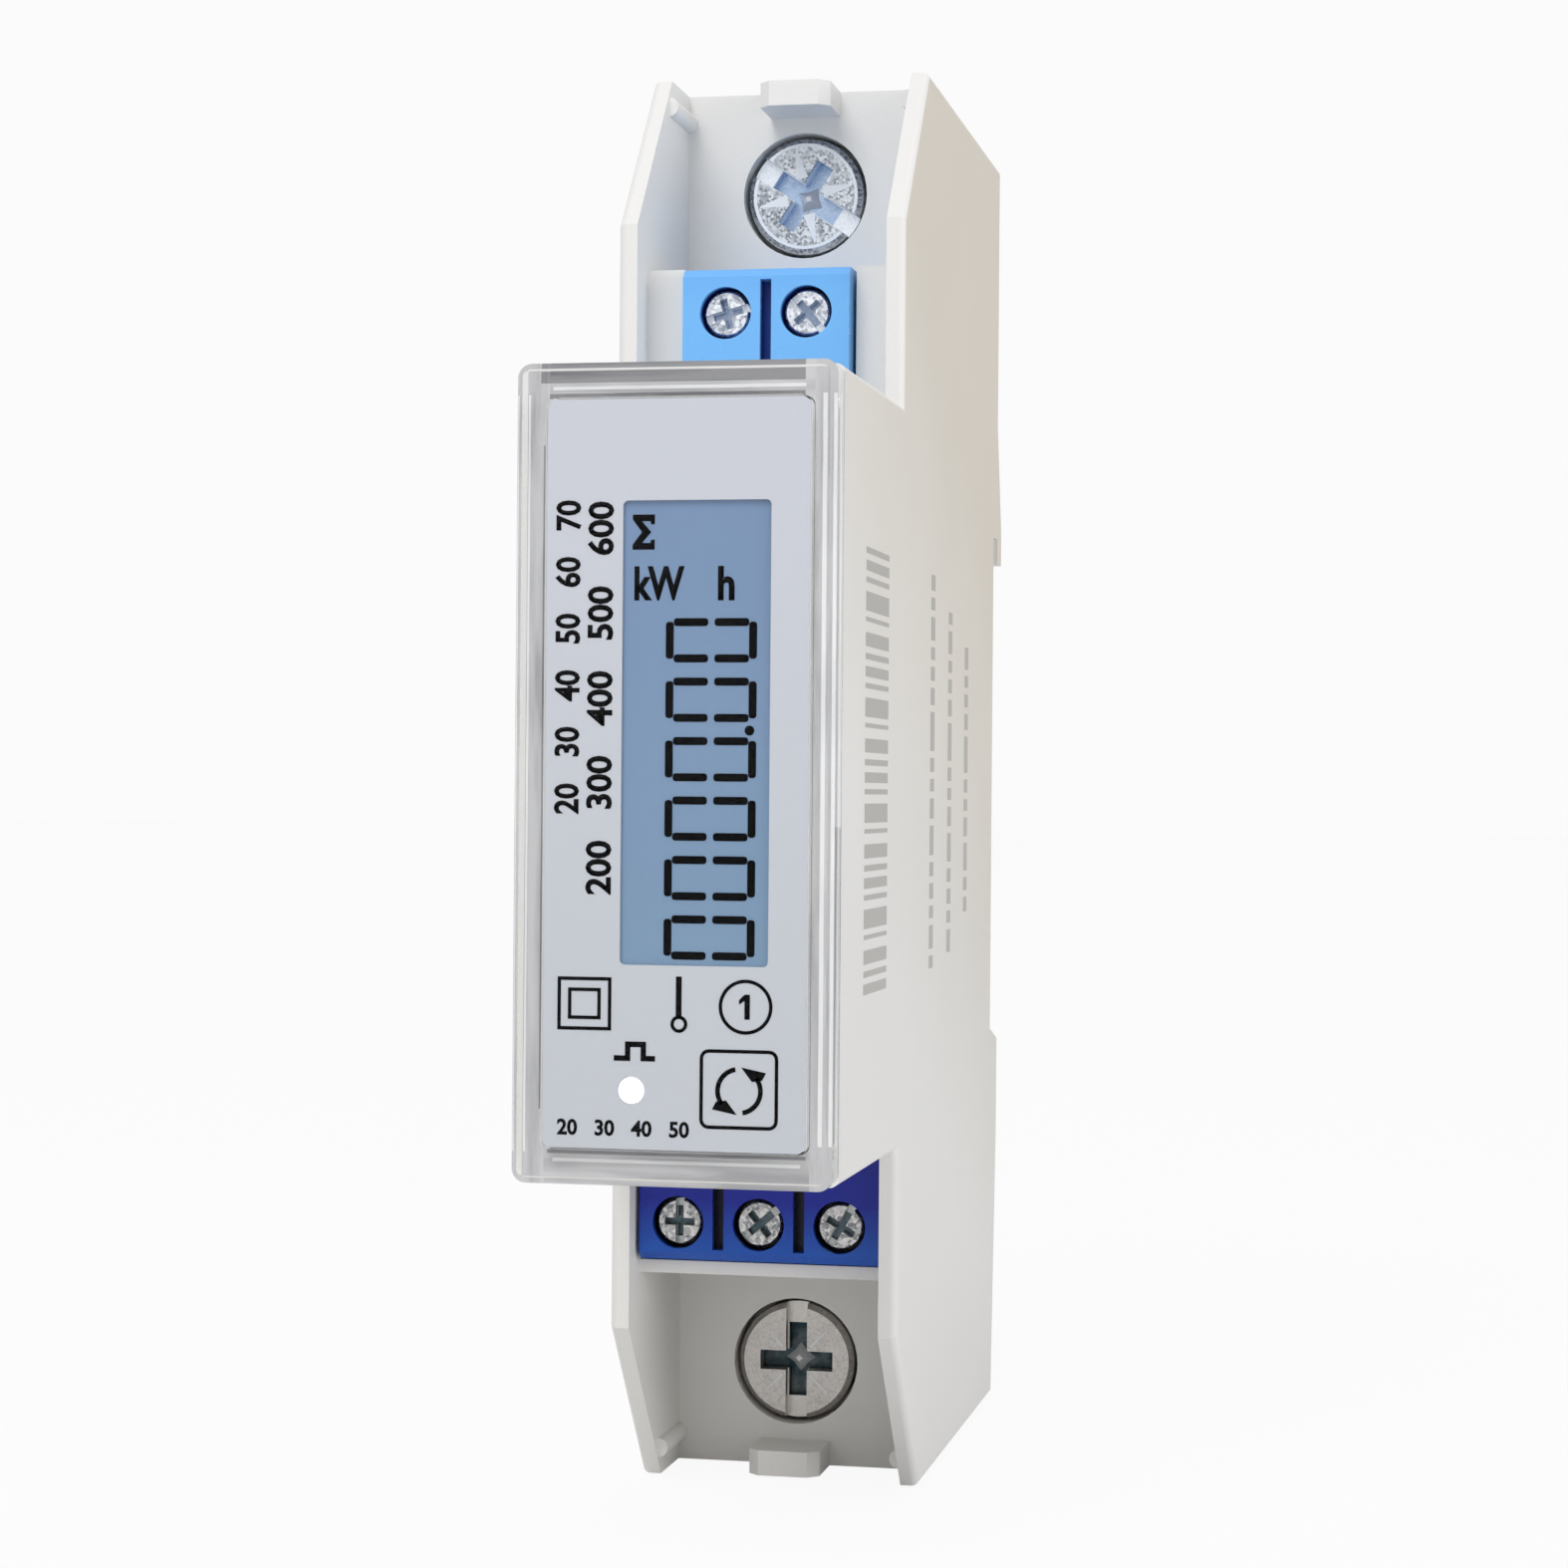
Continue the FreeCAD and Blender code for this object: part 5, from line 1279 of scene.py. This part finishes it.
@dataclass
class ScrewMarks(Assembly):
    """Radial nicks and the raised middle of a clamp screw's cross, painted bright as a highlight,
    and a ring of painted highlight on the upper head's bevel, in millimetres and degrees.
    """

    screw: str
    turn: float
    inner: float
    outer: float
    wide: float
    tip: float
    thick: float = 0.03
    highlight_ring: float = 0.0
    ring_radius: float = 3.36
    ring_start: float = 13.0
    ring_sweep: float = 154.0
    star_radius: float = 0.95
    star_tip: float = 0.2375
    star_waist: float = 0.62
    star_high: float = 0.7
    star_points: int = 4
    well: float = 1.7

    @property
    def middle(self) -> Vector:
        """Middle of the screw's front face, in metres."""
        low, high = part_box(self.screw)
        return Vector(((low.x + high.x) / 2, low.y, (low.z + high.z) / 2))

    def nicks(self) -> Stencil:
        """Draw four wedges between the arms of the cross, and the ring of painted highlight if
        there is one.

        Returns:
            The shapes.
        """
        stencil = Stencil()
        middle = Vector((self.middle.x, self.middle.z, 0)) / MM
        outline = (
            (self.inner, -self.wide / 2), (self.outer, -self.tip / 2),
            (self.outer, self.tip / 2), (self.inner, self.wide / 2),
        )
        for quarter in range(4):
            spin = Matrix.Rotation(math.radians(self.turn + 45 + 90 * quarter), 3, "Z")
            stencil.wedge(middle + spin @ Vector((along, over, 0)) for along, over in outline)
        if self.highlight_ring:
            for side in (self.turn, self.turn + 180):
                start = side + self.ring_start
                stencil.arc(middle, self.ring_radius, self.highlight_ring, start, self.ring_sweep)
        return stencil

    def star(self) -> bpy.types.Object:
        """Make the four-sided point in the middle of the cross.

        Returns:
            The new object, which still has to ride on the screw.
        """
        mesh = bmesh.new()
        bmesh.ops.create_cone(
            mesh, cap_ends=True, segments=2 * self.star_points, radius1=self.star_radius,
            radius2=self.star_tip, depth=self.star_high,
        )
        for vert in mesh.verts:
            angle = round(math.degrees(math.atan2(vert.co.y, vert.co.x)))
            if angle % (360 // self.star_points):
                vert.co.x *= self.star_waist
                vert.co.y *= self.star_waist
        upright = Matrix.Rotation(math.radians(90), 4, "X")
        turn = upright @ Matrix.Rotation(math.radians(self.turn), 4, "Z")
        middle = self.middle / MM + Vector((0, self.well - self.star_high / 2, 0))
        bmesh.ops.transform(mesh, verts=mesh.verts, matrix=Matrix.Translation(middle) @ turn)
        bmesh.ops.transform(mesh, verts=mesh.verts, matrix=Matrix.Scale(MM, 4))
        bmesh.ops.recalc_face_normals(mesh, faces=mesh.faces)
        return placed(self.screw + "_star", mesh)

    def build(self) -> None:
        """Make the nicks and the point of one screw, in painted highlight."""
        nicks = self.nicks().piece(self.screw + "_nicks", -self.middle.y, thick=self.thick)
        self.add(nicks, Finishes.HIGHLIGHT_TICK, self.screw)
        self.add(self.star(), Finishes.HIGHLIGHT_TICK, self.screw)


@dataclass
class CadFinishes(Assembly):
    """Finishes of the nodes that keep their own shape, by the first word found in the name."""

    by_word: dict[str, Finishes] = field(default_factory=lambda: {
        "base_shell": Finishes.HOUSING,
        "side_lid": Finishes.LID,
        "clear_cover": Finishes.COVER,
        "face_label": Finishes.LABEL,
        "face_carrier": Finishes.CARRIER,
        "display_glass": Finishes.DISPLAY,
        "display_backlight": Finishes.LIGHT_GUIDE_PAINTED_GLOW,
        "pulse_led": Finishes.LAMP,
        "light_pipe": Finishes.LIGHT_GUIDE_PAINTED_GLOW,
        "touch_pad": Finishes.FOAM,
        "board_link": Finishes.BLACK,
        "chip": Finishes.BLACK,
        "optocoupler": Finishes.BLACK,
        "film_capacitor": Finishes.YELLOW,
        "bulk_capacitor": Finishes.CAN,
        "varistor": Finishes.BLUE_DISC,
        "fuse_resistor": Finishes.BLUE_DISC,
        "crystal": Finishes.TINNED,
        "current_shunt": Finishes.SHUNT,
        "upper_main_screw": Finishes.UPPER_SCREW,
        "lower_main_screw": Finishes.LOWER_SCREW,
        "din_clip": Finishes.CLIP,
        "board": Finishes.BOARD,
        "busbar": Finishes.COPPER,
        "sense_lead": Finishes.TINNED,
        "contact": Finishes.TINNED,
        "cage": Finishes.CAGE,
        "upper_signal_block": Finishes.LIGHT_BLUE,
        "lower_signal_block": Finishes.DARK_BLUE,
        "upper_signal_screw": Finishes.UPPER_SIGNAL_SCREW,
        "lower_signal_screw": Finishes.LOWER_SIGNAL_SCREW,
    })

    def finish_of(self, name: str) -> Finishes:
        """The finish of a node."""
        return next(finish for word, finish in self.by_word.items() if word in name)

    def build(self) -> None:
        """Dress every node, and let light through the clear cover."""
        for name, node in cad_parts.items():
            self.wardrobe.dress(node, self.finish_of(name))
        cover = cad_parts["clear_cover"]
        cover.visible_shadow = False
        cover.visible_diffuse = False
        LOG.info("%d nodes dressed", len(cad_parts))


@dataclass(frozen=True)
class Lamp:
    """Square soft lamp that points at the meter, in metres and watts."""

    name: str
    place: tuple[float, float, float]
    size: float
    watts: float

    def build(self) -> None:
        """Hang the lamp."""
        light = bpy.data.lights.new(self.name, "AREA")
        light.size = self.size
        light.energy = self.watts
        lamp = linked(self.name, light)
        lamp.location = self.place
        lamp.rotation_euler = Vector(self.place).to_track_quat("Z", "Y").to_euler()


@dataclass
class Studio:
    """Pale floor, soft light and the camera, in metres and radians."""

    floor_half: float = 4.0
    floor_gap: float = 0.0002
    floor_colour: Colour = (0.86, 0.86, 0.86)
    floor_pale: Colour = (0.9, 0.9, 0.9)
    floor_cloud: float = 0.2
    floor_cloud_tone: float = 0.04
    floor_roughness: float = 0.7
    floor_gloss: float = 0.1
    floor_mix: float = 0.93
    floor_glow: float = 0.992
    backdrop_level: float = 0.965
    world_level: float = 0.52
    lamps: Sequence[Lamp] = (
        Lamp("key_lamp", (-0.2, -0.75, 0.9), 0.6, 6.5),
        Lamp("side_lamp", (0.9, -0.35, 0.1), 0.5, 3.0),
    )
    frame_pixels: float = 1574.0
    focal_pixels: float = 3323.3
    sensor_mm: float = 36.0
    clip_start: float = 0.005
    yaw: float = 0.1988
    pitch: float = 0.0029
    roll: float = 0.0081
    camera_place: Vector = field(default_factory=lambda: Vector((0.04170, -0.23871, -0.00102)))

    def build_floor(self) -> None:
        """Pale floor under the meter that keeps a soft shadow."""
        mesh = bmesh.new()
        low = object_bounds()[0]
        bmesh.ops.create_grid(mesh, x_segments=2, y_segments=2, size=self.floor_half)
        floor = placed("floor", mesh)
        floor.location.z = low[2] - self.floor_gap
        graph = Graph.named("pale_floor")
        tone = graph.noise(self.floor_cloud) * self.floor_cloud_tone
        shaded = graph.surface({
            "Base Color": graph.mix(tone, self.floor_colour, self.floor_pale),
            "Roughness": self.floor_roughness,
            "Specular IOR Level": self.floor_gloss,
        })
        glow = graph.out("ShaderNodeEmission", {}, {"Color": WHITE, "Strength": self.floor_glow})
        seen = graph.out("ShaderNodeLightPath", {}, {}, "Is Camera Ray") * self.floor_mix
        both = graph.out("ShaderNodeMixShader", {}, {0: seen, 1: shaded, 2: glow})
        floor.data.materials.append(graph.close(both))
        floor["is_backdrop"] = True

    def build_world(self) -> None:
        """Even white surroundings, brighter where the camera, metal or clear plastic sees them."""
        world = bpy.data.worlds.new("studio")
        bpy.context.scene.world = world
        graph = Graph(world)
        rays = ("Is Camera Ray", "Is Transmission Ray", "Is Glossy Ray")
        camera, through, mirrored = (graph.out("ShaderNodeLightPath", {}, {}, ray) for ray in rays)
        seen = camera.larger(through).larger(mirrored)
        level = seen.spread(0, 1, self.world_level, self.backdrop_level)
        graph.close(graph.out("ShaderNodeBackground", {}, {"Color": WHITE, "Strength": level}))

    def build_camera(self) -> None:
        """Camera at the place and angle of the photograph."""
        lens = bpy.data.cameras.new("camera")
        lens.sensor_fit = "HORIZONTAL"
        lens.sensor_width = self.sensor_mm
        lens.lens = self.focal_pixels * self.sensor_mm / self.frame_pixels
        lens.clip_start = self.clip_start
        camera = linked("camera", lens)
        yaw = Matrix.Rotation(self.yaw, 4, "Z")
        pitch = Matrix.Rotation(math.pi / 2 + self.pitch, 4, "X")
        roll = Matrix.Rotation(self.roll, 4, "Z")
        camera.matrix_world = Matrix.Translation(self.camera_place) @ yaw @ pitch @ roll
        bpy.context.scene.camera = camera

    def build(self) -> None:
        """Set the stage."""
        bpy.context.scene.view_settings.view_transform = "Standard"
        self.build_camera()
        self.build_floor()
        self.build_world()
        for lamp in self.lamps:
            lamp.build()
        LOG.info("studio ready")


def corners(box: Any) -> list[list[float]]:
    """A box as plain lists of numbers."""
    return [[float(value) for value in corner] for corner in box]


def main() -> None:
    """Build the looks around the frame."""
    logging.basicConfig(level=logging.INFO, format="%(name)s: %(message)s")
    cad_box = corners(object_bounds())
    wardrobe = Wardrobe()
    Studio().build()
    for kind in (CadFinishes, PaintedCoverEdges, FacePrint, DisplayFigures, SidePrint):
        kind(wardrobe).build()
    upper = {"turn": -33, "inner": 1.2, "outer": 3.1, "wide": 0.8, "tip": 0.1, "highlight_ring": 0.2}
    lower = {"turn": 90, "inner": 1.3, "outer": 2.9, "wide": 0.2, "tip": 0.07}
    ScrewMarks(wardrobe, "upper_main_screw", **upper).build()
    ScrewMarks(wardrobe, "lower_main_screw", **lower).build()
    {"cad": cad_box, "visual": corners(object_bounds())}


if __name__ == "__main__":
    main()
